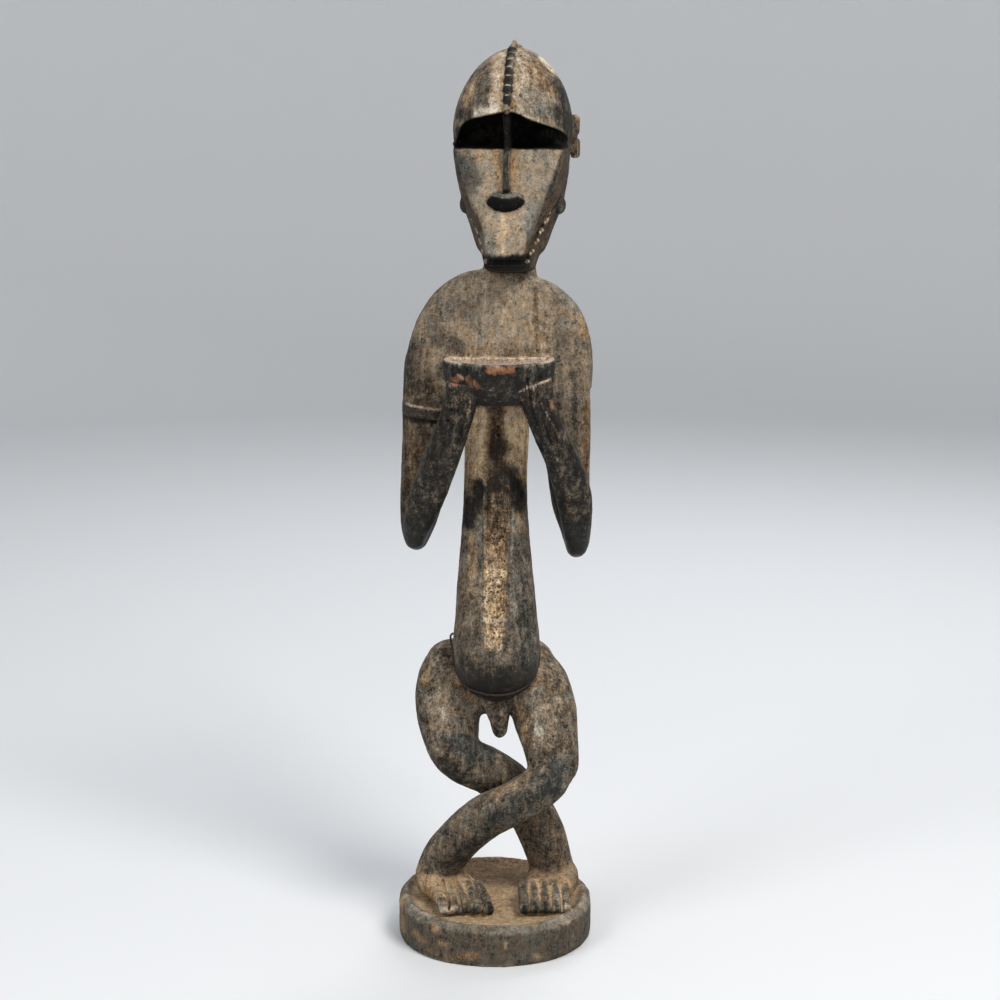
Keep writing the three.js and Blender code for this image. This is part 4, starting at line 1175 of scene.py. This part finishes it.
# Stains, rubbed places, painted highlights and painted shadows: from, to and width in mm, then light, warmth, shine
# and strength
stains = [
    ((-9, -32, 676), (-11, -38, 650), 8, 0.36, 0.35, 0.3, 0.75),
    ((-32, -18, 626), (-27.6, -24, 633), 4.2, 0.10, 0.4, 0.3, 0.9),
    ((-27.6, -24, 633), (-19, -33, 642.5), 3.2, 0.12, 0.5, 0.3, 0.9),
    ((34, -32, 639), (49, -18, 627), 2.6, 0.14, 0.3, 0.3, 0.8),
    ((-17, -26, 680), (-21, -30, 656), 4.5, 0.62, 1.0, 0.1, 0.8),
    ((-28, -20, 672), (-34, -20, 640), 5, 0.46, 0.4, 0.3, 0.6),
    ((3, -14, 690), (-0.6, -39, 654), 4.5, 0.76, 0.6, 0.1, 0.8),
    ((18, -12, 688), (20, -36, 654), 6, 0.76, 0.5, 0.1, 0.8),
    ((30, -28, 680), (42, -24, 664), 8, 0.42, 0.8, 0.2, 0.8),
    ((36, -10, 688), (47, -10, 675), 3.5, 0.95, 0.4, 0.2, 0.9),
    ((24, -36, 658), (42, -28, 652), 8, 0.60, 0.15, 0.2, 0.7),
    ((22, -24, 676), (30, -24, 664), 6, 0.50, 0.5, 0.2, 0.4),
    ((13.5, -40, 654), (14, -40, 656), 2.5, 0.55, 1.0, 0.0, 0.9),
    ((52, -5, 670), (57, -8, 630), 9, 0.14, 0.3, 0.4, 0.9),
    ((-36, -20, 650), (-22, -32, 647), 5, 0.22, 0.2, 0.3, 0.8),
    ((-15, -40, 649), (2, -43, 652), 2.6, 0.84, 0.2, 0.3, 0.85),
    # Painted shadow on the upper face at the figure's right, below the brow
    ((-24, -34, 614), (-18, -38, 599), 10, 0.34, 0.1, 0.3, 0.9),
    ((36, -32, 618), (30, -40, 590), 8, 0.56, 0.2, 0.2, 0.6),
    ((-26, -34, 619), (-8, -36, 620), 3, 0.60, 0.8, 0.1, 0.6),
    ((2.5, -38, 620), (3.5, -44, 596), 3.5, 0.62, 1.0, 0.1, 0.8),
    ((14, -38, 620), (14, -44, 596), 3.5, 0.62, 1.0, 0.1, 0.8),
    # Painted highlight down the ridge under the nose
    ((6.5, -54, 573), (5.5, -58, 552), 3.4, 0.80, 0.75, 0.1, 0.65),
    ((1, -56, 547), (10, -56, 547), 2.6, 0.84, 0.65, 0.1, 0.6),
    ((29, -46, 581), (24, -50, 562), 5.5, 0.55, 0.0, 0.3, 0.8),
    ((-7, -52, 558), (-3, -56, 548), 6, 0.62, 0.1, 0.3, 0.7),
    ((-42, -16, 480), (-28, -18, 474), 7, 0.36, 0.35, 0.2, 0.8),
    ((-36, -14, 508), (-20, -14, 500), 8, 0.52, 0.25, 0.2, 0.6),
    ((31, -18, 516), (32, -20, 470), 1.5, 0.36, 0.8, 0.1, 0.8),
    ((-12, -18, 512), (-11, -20, 470), 1.2, 0.42, 0.3, 0.1, 0.6),
    ((-66, 0, 470), (-70, 0, 440), 8, 0.30, 0.35, 0.3, 0.8),
    ((46, -14, 520), (62, -8, 500), 5, 0.50, 0.05, 0.3, 0.6),
    # Painted highlight along the outer edge of the right hand and forearm
    ((-36, -42, 446), (-43, -32, 420), 1.3, 0.62, 0.5, 0.1, 0.7),
    ((-43, -32, 420), (-60, -12, 373), 1.6, 0.58, 0.6, 0.1, 0.8),
    ((-17.5, -60, 439), (-20.5, -56, 425), 0.7, 0.50, 0.5, 0.1, 0.7),
    ((-27, -56, 438), (-31, -50, 420), 0.6, 0.40, 0.5, 0.1, 0.7),
    ((19.5, -60, 441), (26.5, -50, 414.5), 0.7, 0.62, 0.4, 0.1, 0.8),
    ((28.5, -60, 438), (33, -50, 420), 0.5, 0.45, 0.4, 0.1, 0.7),
    ((35, -58, 435), (49, -40, 409), 0.8, 0.58, 0.5, 0.1, 0.8),
    # The painted highlight on the right forearm's outer edge, carried on down to the elbow
    ((-60, -12, 373), (-67, -4, 345), 2.0, 0.50, 0.7, 0.1, 0.7),
    ((71, 0, 428), (70, 0, 366), 3.5, 0.42, 1.0, 0.1, 0.8),
    ((66, -8, 494), (69, -6, 478), 2.6, 0.58, 1.0, 0.1, 0.8),
    ((-52, -16, 448), (-50, -16, 440), 6, 0.30, 0.7, 0.2, 0.6),
    ((1.5, -26, 428), (1.5, -28, 396), 7, 0.27, 0.8, 0.2, 0.8),
    ((1.5, -28, 396), (2, -30, 362), 10, 0.17, 0.6, 0.3, 0.95),
    ((-11, -20, 366), (-20, -16, 338), 6, 0.08, 0.3, 0.4, 0.95),
    ((12, -24, 376), (20, -22, 350), 6, 0.06, 0.3, 0.4, 0.95),
    # Painted shadow under the lower edge of the ring on the right upper arm
    ((-70, -8, 417.5), (-34, -19, 413), 1.8, 0.06, 0.6, 0.2, 0.9),
    ((-66, -8, 372), (-67, -4, 348), 8, 0.28, 0.6, 0.3, 0.5),
    ((-64, -8, 400), (-62, -4, 360), 2.6, 0.50, 0.9, 0.2, 0.6),
    ((-42, -12, 376), (-40, -16, 346), 3, 0.06, 0.3, 0.5, 0.6),
    ((48, -30, 390), (60, -14, 340), 3, 0.42, 0.5, 0.3, 0.7),
    ((54, -22, 380), (52, -20, 340), 2.4, 0.05, 0.3, 0.5, 0.7),
    ((44, -4, 380), (55, -2, 330), 6, 0.10, 0.3, 0.5, 0.9),
    ((60, -12, 450), (62, -12, 380), 3, 0.28, 0.4, 0.3, 0.7),
    ((-19, -24, 328), (-16, -32, 298), 4, 0.58, 0.85, 0.1, 0.8),
    ((18, -26, 342), (19, -28, 333), 3, 0.58, 0.9, 0.1, 0.8),
    ((26, -20, 330), (30, -30, 270), 4, 0.42, 0.6, 0.2, 0.6),
    ((-25, -24, 300), (-28, -30, 250), 4, 0.46, 0.6, 0.2, 0.6),
    ((-11, -30, 345), (-10.5, -36, 292), 1.0, 0.55, 0.0, 0.3, 0.9),
    ((14, -30, 350), (12, -40, 282), 1.0, 0.58, 0.0, 0.3, 0.9),
    ((-53, -5, 214), (-54, -5, 208), 4, 0.52, 0.95, 0.0, 0.8),
    ((-33, -4, 226), (-28, -12, 206), 2.6, 0.58, 0.85, 0.0, 0.7),
    ((-28, -12, 206), (-14, -14, 193), 2.6, 0.50, 0.85, 0.0, 0.6),
    ((36, -4, 222), (31, -12, 205), 3.2, 0.62, 0.85, 0.0, 0.7),
    ((-42, -12, 200), (-40, -14, 178), 6, 0.66, 0.6, 0.0, 0.7),
    ((-31, -26, 166), (-8, -20, 150), 10, 0.28, 0.1, 0.6, 0.9),
    ((-45, -14, 150), (-28, -20, 134), 6, 0.22, 0.4, 0.4, 0.7),
    ((-58, -4, 190), (-52, -6, 160), 5, 0.34, 0.4, 0.2, 0.6),
    ((8, -8, 154), (24, 0, 143), 6, 0.62, 0.95, 0.0, 0.8),
    ((19, -10, 188), (26, -14, 158), 4, 0.60, 0.85, 0.0, 0.7),
    ((50, -32, 150), (46, -36, 132), 9, 0.26, 0.0, 0.7, 0.9),
    ((46, -38, 138), (-4, -40, 104), 8, 0.24, 0.12, 0.6, 0.8),
    ((36, -14, 198), (40, -16, 168), 10, 0.60, 0.5, 0.1, 0.6),
    ((33, -16, 200), (34, -18, 172), 4, 0.70, 0.1, 0.1, 0.6),
    ((-44, -12, 192), (-36, -18, 172), 5, 0.62, 0.3, 0.1, 0.6),
    ((-6, -38, 96), (-36, -24, 62), 6, 0.26, 0.4, 0.4, 0.8),
    ((24, -40, 140), (2, -44, 126), 4, 0.62, 0.85, 0.1, 0.6),
    ((-45, -18, 98), (-40, -20, 92), 5, 0.33, 0.1, 0.3, 0.7),
    ((34, 0, 100), (44, -4, 60), 14, 0.32, 0.55, 0.2, 0.7),
    ((-75, -22, 30), (-73, -30, 9), 3, 0.62, 0.9, 0.0, 0.8),
    ((-46.3, -66, 26), (-45, -66, 25), 3.5, 0.72, 1.0, 0.0, 0.9),
    ((-42, -70, 16), (-37, -72, 15), 3, 0.62, 1.0, 0.0, 0.8),
    ((-61, -52, 15), (-58, -54, 13), 4, 0.62, 0.95, 0.0, 0.8),
    ((7.9, -80, 19), (8, -80, 17), 2.2, 0.68, 0.9, 0.0, 0.9),
    ((33, -74, 7), (34, -74, 5), 2.6, 0.60, 0.9, 0.0, 0.8),
    ((-28, -78, 7), (-14, -80, 9), 3.5, 0.55, 0.95, 0.0, 0.8),
    ((-50, -60, 6), (-34, -74, 4), 3, 0.55, 0.7, 0.0, 0.7),
]

# Places chipped to fresh orange wood: from, to, width in mm and strength
chips = [
    ((-4, -66, 462.5), (12, -66, 462.5), 3.8, 0.85), ((-29.5, -60, 452), (-27, -60, 455), 3.6, 0.9),
    ((-19, -60, 455), (-13, -62, 449), 3.6, 0.6), ((42, -52, 437), (43, -52, 433), 1.8, 0.8),
    ((18.5, -34, 318.5), (20, -34, 317), 1.6, 0.6), ((62, 0, 310), (60, 0, 306), 5, 0.3),
    ((-10, -40, 296), (-9, -40, 290), 2, 0.4),
]


def alongToes(start, stop):
    # A stripe down the middle of each toe, between two shares of its length
    stripe = np.zeros(len(points))
    ragged = clouds(points, 3, 97)
    for root, tip, dark in toeLines:
        run = np.array(tip) - root
        along = (points[:, :2] - root) @ run / (run @ run)
        off = np.hypot(*(points[:, :2] - root - along[:, None] * run).T)
        across = ramp(2.5 - off + 0.8 * ragged, 0, 1.4)
        begun, ended = along + 0.1 * ragged, along + 0.05 * ragged
        lengthways = ramp(begun, start, start + 0.3) * (1 - ramp(ended, stop, stop + 0.1))
        stripe = np.maximum(stripe, dark * across * lengthways)
    return stripe * ramp(points[:, 2], 29, 31) * (1 - ramp(points[:, 2], 50, 53))


def paleMask(inside, y, z):
    # The bowl's rubbed rim, the bottom of its inside, and two pale places on the hands
    rim = by("bowl", 1.0) * ramp(z, 464.4, 465.6) * (1 - ramp(y, -27, -24)) * (1 - ramp(-y, 44, 58))
    bottom = inside * (1 - ramp(z, 462.6, 465.2)) * (0.4 + 0.5 * ramp(z + 2 * clouds(points, 7, 88), 450, 459))
    rightHand = streak(points, (-27, -60, 456.5), (-24, -60, 455), 1.3) * 0.7
    leftHand = streak(points, (19, -62, 446), (41, -56, 454), 0.45, 57) * 0.75
    return np.maximum.reduce([rim, bottom, rightHand, leftHand])


def paintMasks():
    p = patinaSizes
    x, y, z = points.T
    forward, upward = -outward[:, 1], outward[:, 2]
    looks = np.zeros((len(points), 3))
    for name, mask in partMasks().items():
        looks += (np.array(patinaLooks[name]) - looks) * mask[:, None]
    frontal = ramp(forward, -0.15, 0.2)
    for index, (start, end, width, *look, strength) in enumerate(stains):
        stained = streak(points, start, end, width, 120 + index) * strength * frontal
        looks += (np.array(look) - looks) * stained[:, None]

    # Soot and painted shade lie in the hollows of the wood, darker where more wood stands round a point, less where
    # dust or hands have been
    dusty = [by("insteps", 4), by("toes", 2), by("base", 1.5), 0.5 * by("shoulders", 1.5)]
    sootAndShade = np.clip(ramp(crowdSmall, 0.56, 0.8) * 0.55 + ramp(crowdLarge, 0.64, 0.88) * 0.7, 0, 1)
    sootAndShade = sootAndShade * (1 - 0.9 * np.maximum.reduce(dusty))

    # Rubbed edges are lighter, and most of all the worn strip on the belly; sides that face up are lighter with
    # dust, and sides that face down darker as painted shade
    unrubbed = [by(name, 1.5) for name in ("beads", "toes", "jaw", "nostrils")]
    # The eye hollow gets no lighter edges, so that its painted shade stays dark
    unrubbed += [by("bridge", 0.8), by("hollow", 3) * ramp(np.abs(x - 10), 22, 32)]
    rubbed = 1 - np.maximum.reduce(unrubbed)
    light = looks[:, 0] + p["edgeLight"] * ramp(0.5 - crowdSmall, 0.06, 0.2) * rubbed
    light = light + p["topDustUnderShade"] * (upward - 0.1) * (1 - sootAndShade)
    raw = rawStrip(points) * frontal
    light = light + (p["stripLight"] - 0.36 * ramp(z, 305, 345) - light) * raw
    warmth = looks[:, 1] + (p["stripWarmth"] - looks[:, 1]) * raw

    inside = by("bowlInside", 0.8)
    pale = paleMask(inside, y, z)
    fresh = [streak(points, start, end, width, 180) * strength for start, end, width, strength in chips]
    orange = np.maximum.reduce(fresh) * frontal
    sootAndShade = sootAndShade * (1 - np.maximum(inside, by("teeth", 1)))

    # How strongly the grit shows: little on the smooth parts, most on the arms, the bowl and the strip
    smooth = np.maximum.reduce([0.45 * by("base", 1.5), 0.35 * by("muzzle", 1.5), 0.3 * by("insteps", 3)])
    rough = 0.3 * np.maximum(by("forearms", 1.5), by("bowl", 1.5)) - 0.16 * by("shoulders", 1.5)
    gritShare = p["grit"] + p["gritDrift"] * clouds(points, 26, 99) - 0.75 * smooth + rough + 0.38 * raw
    gritShare = np.clip(gritShare, 0.08, 1)
    return {"patinaAndLight": (light, warmth, looks[:, 2], sootAndShade), "marks": (orange, pale, raw, gritShare)}


for name, masks in paintMasks().items():
    layer = woodMesh.color_attributes.new(name, "FLOAT_COLOR", "POINT")
    layer.data.foreach_set("color", np.clip(np.stack(masks, 1), 0, 1).astype(np.float32).ravel())
print("patina laid")


# Materials

def linear(code):
    # An sRGB hex colour as the linear colour that a shader takes
    parts = [int(code[start:start + 2], 16) / 255 for start in (1, 3, 5)]
    return tuple(part / 12.92 if part <= 0.04045 else ((part + 0.055) / 1.055) ** 2.4 for part in parts) + (1.0,)


def addNode(tree, kind, settings=None, inputs=None):
    # A node with its properties set, and its inputs given as values or as other nodes' outputs
    made = tree.nodes.new("ShaderNode" + kind)
    for name, value in (settings or {}).items():
        setattr(made, name, value)
    for name, value in (inputs or {}).items():
        if isinstance(value, bpy.types.NodeSocket):
            tree.links.new(value, made.inputs[name])
        else:
            made.inputs[name].default_value = value
    return made


def perMetre(size):
    # The scale of a pattern whose repeat is the size in mm
    return 1 / (size * mm)


woodLooks = {
    "cool": ("#0B0B0A", "#2C2D29", "#605F57", "#969186", "#D0CAC0"),   # smoked and greyed wood, dark to light
    "warm": ("#100B07", "#38291B", "#735A41", "#AC8E68", "#DEC5A0"),   # rubbed and earthy wood, dark to light
    "pit": "#0F0B08",
    "freshWood": "#AE7450",
    "rimWood": "#DCC2AE",
    "patterns": {                       # size in mm, detail, roughness, and share in the grit
        "speckle": (1.7, 3.0, 0.8, 0.95),      # dust and dirt in the pores
        "blotch": (4.6, 3.0, 0.65, 0.7),
        "mottle": (14, 4.0, 0.6, 0.65),
        "grain": (1.3, 2.0, 0.6, 0.35),        # size across a fibre bundle
        "runs": (4.0, 3.0, 0.6, 0.65),         # size across the dark and light runs along the grain
    },
    "alongFibre": ("grain", "runs"),    # these are drawn out upwards
    "gritMiddle": -1.65,   # what brings the grit's mean to nothing
    "flecks": 3.1,         # mm
    "drift": 9,            # mm, from smoked to earthy wood
    "pits": 2.5,           # mm between the eaten pits of the worn strip
    "dots": 6.5,           # mm between the scattered pits elsewhere
}


def agedWood():
    # Dense savannah wood, carved green, then smoked, oiled and handled for years: grey-black and
    # faintly shiny where hands went, dull tan and dusty where it is rubbed or out of reach
    w = woodLooks
    material = bpy.data.materials.new("agedCarvedWood")
    material.use_nodes = True
    tree = material.node_tree
    tree.nodes.clear()
    place = addNode(tree, "TexCoord").outputs["Object"]
    upright = addNode(tree, "Mapping", {}, {"Vector": place, "Scale": (1, 1, 0.2)}).outputs["Vector"]
    patinaAndLight = addNode(tree, "VertexColor", {"layer_name": "patinaAndLight"})
    marks = addNode(tree, "VertexColor", {"layer_name": "marks"})
    light, warmth, shine = addNode(tree, "SeparateColor", {}, {"Color": patinaAndLight.outputs["Color"]}).outputs
    fresh, pale, raw = addNode(tree, "SeparateColor", {}, {"Color": marks.outputs["Color"]}).outputs
    # The alpha carries the soot and painted shade of the hollows
    sootAndShade = patinaAndLight.outputs["Alpha"]
    times, timesPlus = {"operation": "MULTIPLY"}, {"operation": "MULTIPLY_ADD"}
    overlay = {"data_type": "RGBA"}

    # Light and dark grit over the laid patina, weaker where it is darkest
    fields, grit = {}, w["gritMiddle"]
    for name, (size, detail, coarse, share) in w["patterns"].items():
        fields[name] = addNode(tree, "TexNoise", {}, {
            "Vector": upright if name in w["alongFibre"] else place, "Scale": perMetre(size),
            "Detail": detail, "Roughness": coarse}).outputs["Fac"]
        grit = addNode(tree, "Math", timesPlus, {0: fields[name], 1: share, 2: grit}).outputs[0]
    speckle, grain, blotch = fields["speckle"], fields["grain"], fields["blotch"]
    reach = addNode(tree, "Math", timesPlus, {0: light, 1: 0.6, 2: 1.04}).outputs[0]
    reach = addNode(tree, "Math", times, {0: reach, 1: marks.outputs["Alpha"]}).outputs[0]
    tone = addNode(tree, "Math", timesPlus, {0: grit, 1: reach, 2: light}).outputs[0]
    # The soot and painted shade of the hollows darken the tone
    tone = addNode(tree, "Math", timesPlus, {0: sootAndShade, 1: -0.42, 2: tone}).outputs[0]

    # Thin dark flecks where grime stayed in the tool marks
    flecks = addNode(tree, "TexNoise", {}, {
        "Vector": place, "Scale": perMetre(w["flecks"]), "Detail": 2.0, "Roughness": 0.7,
        "Distortion": 1.2}).outputs["Fac"]
    flecks = addNode(tree, "MapRange", {}, {
        "Value": flecks, "From Min": 0.56, "From Max": 0.66, "To Max": -0.2}).outputs[0]
    tone = addNode(tree, "Math", {"operation": "ADD"}, {0: tone, 1: flecks}).outputs[0]

    # Two runs of colour from dark to light, mixed by warmth
    tones = []
    for codes in (w["cool"], w["warm"]):
        run = addNode(tree, "ValToRGB", {}, {"Fac": tone})
        stops = run.color_ramp.elements
        for index in range(1, len(codes) - 1):
            stops.new(index / (len(codes) - 1))
        for stop, code in zip(stops, codes):
            stop.color = linear(code)
        tones.append(run.outputs["Color"])
    drift = addNode(tree, "TexNoise", {}, {
        "Vector": place, "Scale": perMetre(w["drift"]), "Detail": 3.0, "Roughness": 0.7}).outputs["Fac"]
    shareWarm = addNode(tree, "Math", timesPlus, {0: drift, 1: 1.5, 2: -0.75}).outputs[0]
    shareWarm = addNode(tree, "Math", {"operation": "ADD", "use_clamp": True}, {0: shareWarm, 1: warmth}).outputs[0]
    colour = addNode(tree, "Mix", overlay, {0: shareWarm, 6: tones[0], 7: tones[1]}).outputs[2]

    # Chipped places show fresh wood, and the bowl's rim is rubbed pale
    freshShare = addNode(tree, "Math", timesPlus, {0: blotch, 1: 1.6, 2: -0.8}).outputs[0]
    freshShare = addNode(tree, "Math", {"operation": "ADD"}, {0: freshShare, 1: fresh}).outputs[0]
    freshShare = addNode(tree, "MapRange", {}, {
        "Value": freshShare, "From Min": 0.3, "From Max": 1.1, "To Max": 0.75}).outputs[0]
    paleShare = addNode(tree, "MapRange", {}, {
        "Value": speckle, "From Min": 0.34, "From Max": 0.56, "To Min": 0.35, "To Max": 0.95}).outputs[0]
    paleShare = addNode(tree, "Math", times, {0: paleShare, 1: pale}).outputs[0]

    # The worn strip down the belly is eaten into small pits, and a few pits are scattered elsewhere
    cells = addNode(tree, "TexVoronoi", {}, {"Vector": place, "Scale": perMetre(w["pits"])}).outputs["Distance"]
    eaten = addNode(tree, "MapRange", {}, {
        "Value": cells, "From Min": 0.20, "From Max": 0.42, "To Min": 1.0, "To Max": 0.0}).outputs[0]
    patchy = addNode(tree, "MapRange", {}, {"Value": blotch, "From Min": 0.46, "From Max": 0.58}).outputs[0]
    eaten = addNode(tree, "Math", times, {0: eaten, 1: patchy}).outputs[0]
    eaten = addNode(tree, "Math", times, {0: eaten, 1: raw}).outputs[0]
    scattered = addNode(tree, "TexVoronoi", {}, {"Vector": place, "Scale": perMetre(w["dots"])}).outputs["Distance"]
    dots = addNode(tree, "MapRange", {}, {
        "Value": scattered, "From Min": 0.07, "From Max": 0.15, "To Min": 0.7, "To Max": 0.0}).outputs[0]
    dots = addNode(tree, "Math", times, {0: dots, 1: patchy}).outputs[0]
    pitShare = addNode(tree, "Math", {"operation": "MAXIMUM"}, {0: eaten, 1: dots}).outputs[0]
    for share, code in ((freshShare, w["freshWood"]), (paleShare, w["rimWood"]), (pitShare, w["pit"])):
        colour = addNode(tree, "Mix", overlay, {0: share, 6: colour, 7: linear(code)}).outputs[2]

    # Handled wood has a low sheen, and bare or dusty wood has none
    gloss = addNode(tree, "MapRange", {}, {"Value": shine, "To Min": 0.84, "To Max": 0.44}).outputs[0]
    gloss = addNode(tree, "Math", timesPlus, {0: speckle, 1: 0.3, 2: gloss}).outputs[0]
    gloss = addNode(tree, "Math", {"operation": "SUBTRACT", "use_clamp": True}, {0: gloss, 1: 0.15}).outputs[0]
    sheen = addNode(tree, "MapRange", {}, {"Value": shine, "To Min": 0.08, "To Max": 0.34}).outputs[0]

    # Relief from fine to coarse: its pattern, whether it goes inwards, its strength and its height in mm
    relief = {}
    for height, inward, strength, rise in ((speckle, False, 0.5, 0.5), (grain, False, 0.3, 0.4),
                                           (pitShare, True, 0.8, 1.2), (blotch, False, 0.5, 0.9)):
        bump = addNode(tree, "Bump", {"invert": inward}, {
            "Height": height, "Strength": strength, "Distance": rise * mm, **relief})
        relief = {"Normal": bump.outputs["Normal"]}
    surface = addNode(tree, "BsdfPrincipled", {}, {
        "Base Color": colour, "Roughness": gloss, "Specular IOR Level": sheen, **relief})
    tree.links.new(surface.outputs[0], addNode(tree, "OutputMaterial").inputs["Surface"])
    return material


woodMesh.materials.clear()
woodMesh.materials.append(agedWood())
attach(figure, "root")
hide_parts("figure")
print("wood material made")


# The waist cord: two plies of dark fibre, twisted, along the route that the solid cord takes

cordSizes = {
    "route": [(4, 17.9, 242.4), (-12.5, 16, 242), (-26, 6.2, 243), (-34.5, -5, 244.5), (-32.8, -14.5, 234),
              (-30.6, -23, 221), (-22.6, -31, 210.6), (-9, -36, 206), (2.5, -37.2, 205), (14, -35.2, 206.4),
              (25, -30.8, 211.2), (33, -22.4, 222), (34.6, -12, 235), (30.3, 3, 243), (17, 14.5, 242.5),
              (1.3, 18.2, 242.4)],
    "radius": 0.95,
    "plyOut": 0.5,         # how far out the middle of a ply lies, as a share of the cord's radius
    "plyHalf": 0.56,       # half a ply's thickness, as a share of it too
    "twist": 4.2,          # mm for one turn of the two plies
    "step": 0.55,          # mm from one ring of corners to the next
    "sides": 8,
    "knot": (((2.6, 18.4, 242.4), (2.6, 1.9, 1.9)), ((4.4, 18.8, 241.2), (1.7, 1.3, 1.5))),
    "knotLean": 0.3,
    "fibre": 0.8,          # mm, from one broken fibre to the next
    "dark": "#1D1711",
    "pale": "#55483A",
}


def twistedCord():
    s = cordSizes
    run = smoothRun(s["route"], 40)
    steps = np.linalg.norm(np.diff(run, axis=0), axis=1)
    travelled = np.concatenate([[0], np.cumsum(steps)])
    places = np.linspace(0, travelled[-1], int(travelled[-1] / s["step"]))
    spine = np.stack([np.interp(places, travelled, run[:, axis]) for axis in range(3)], 1)
    tangent = np.gradient(spine, axis=0)
    tangent /= np.linalg.norm(tangent, axis=1, keepdims=True)
    side = np.cross(tangent, (0, 0, 1.0))
    side /= np.linalg.norm(side, axis=1, keepdims=True)
    upper = np.cross(side, tangent)
    around = np.linspace(0, 2 * math.pi, s["sides"], endpoint=False)
    ring = np.cos(around)[None, :, None] * side[:, None] + np.sin(around)[None, :, None] * upper[:, None]
    meshes = []
    for ply in (0, 1):
        turn = 2 * math.pi * places / s["twist"] + ply * math.pi
        winding = np.cos(turn)[:, None] * side + np.sin(turn)[:, None] * upper
        middle = spine + s["radius"] * s["plyOut"] * winding
        meshes.append(ringsToMesh(middle[:, None] + ring * s["radius"] * s["plyHalf"]))
    for centre, radii in s["knot"]:
        meshes.append(egg(centre, radii, s["knotLean"], sides=16))
    skins, faces, start = [], [], 0
    for skin, quadFaces, capFaces in meshes:
        skins.append(skin)
        faces += [tuple(face + start) for part in (quadFaces, capFaces) for face in part]
        start += len(skin)
    return meshOf("waistCordFibre", np.vstack(skins), faces)


def fibreMaterial():
    # Two-ply bast string, blackened by smoke and handling: dull, with paler broken fibres
    material = bpy.data.materials.new("smokedBastFibre")
    material.use_nodes = True
    tree = material.node_tree
    tree.nodes.clear()
    place = addNode(tree, "TexCoord").outputs["Object"]
    strands = addNode(tree, "TexNoise", {}, {
        "Vector": place, "Scale": perMetre(cordSizes["fibre"]), "Detail": 3.0}).outputs["Fac"]
    share = addNode(tree, "MapRange", {}, {"Value": strands, "From Min": 0.4, "From Max": 0.68}).outputs[0]
    colour = addNode(tree, "Mix", {"data_type": "RGBA"}, {
        0: share, 6: linear(cordSizes["dark"]), 7: linear(cordSizes["pale"])}).outputs[2]
    bump = addNode(tree, "Bump", {}, {"Height": strands, "Strength": 0.5, "Distance": 0.2 * mm}).outputs["Normal"]
    surface = addNode(tree, "BsdfPrincipled", {}, {"Base Color": colour, "Roughness": 0.85, "Normal": bump})
    tree.links.new(surface.outputs[0], addNode(tree, "OutputMaterial").inputs["Surface"])
    return material


cordMesh = twistedCord()
cordMesh.materials.append(fibreMaterial())
cord = intoScene("waist_cord_fibre", cordMesh)
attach(cord, "root")
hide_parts("waist_cord")
print("cord twisted")


# The floor: a pale paper disc that curves up into a low wall all round

floorSizes = {
    "flat": 2600,      # mm from the middle to where the curve starts
    "bend": 900,       # mm, radius of the curve
    "wall": 2600,      # mm, height of its edge
    "sides": 96,
    "colour": "#ECEDEE",
}


def paleSweep():
    flat, bend, sides = floorSizes["flat"], floorSizes["bend"], floorSizes["sides"]
    profile = [(share * flat, 0) for share in (0.0002, 0.2, 0.5, 1)]
    profile += [(flat + bend * math.sin(turn), bend * (1 - math.cos(turn)))
                for turn in np.linspace(0.1, math.pi / 2, 14)]
    profile.append((flat + bend, floorSizes["wall"]))
    skin, quadFaces, capFaces = turned(profile, (0, 0), sides)
    middle = len(profile) * sides   # the point that the inner cap meets in, as the outer end stays open
    faces = [tuple(face) for face in quadFaces] + [tuple(face) for face in capFaces if middle in face]
    return meshOf("paleSweep", skin, faces)


def palePaper():
    # Matt photographic paper: an even white with no shine
    material = bpy.data.materials.new("palePaper")
    material.use_nodes = True
    shader = material.node_tree.nodes["Principled BSDF"]
    shader.inputs["Base Color"].default_value = linear(floorSizes["colour"])
    shader.inputs["Roughness"].default_value = 0.95
    shader.inputs["Specular IOR Level"].default_value = 0.1
    return material


floorMesh = paleSweep()
floorMesh.materials.append(palePaper())
floor = intoScene("floor", floorMesh)
print("floor laid")
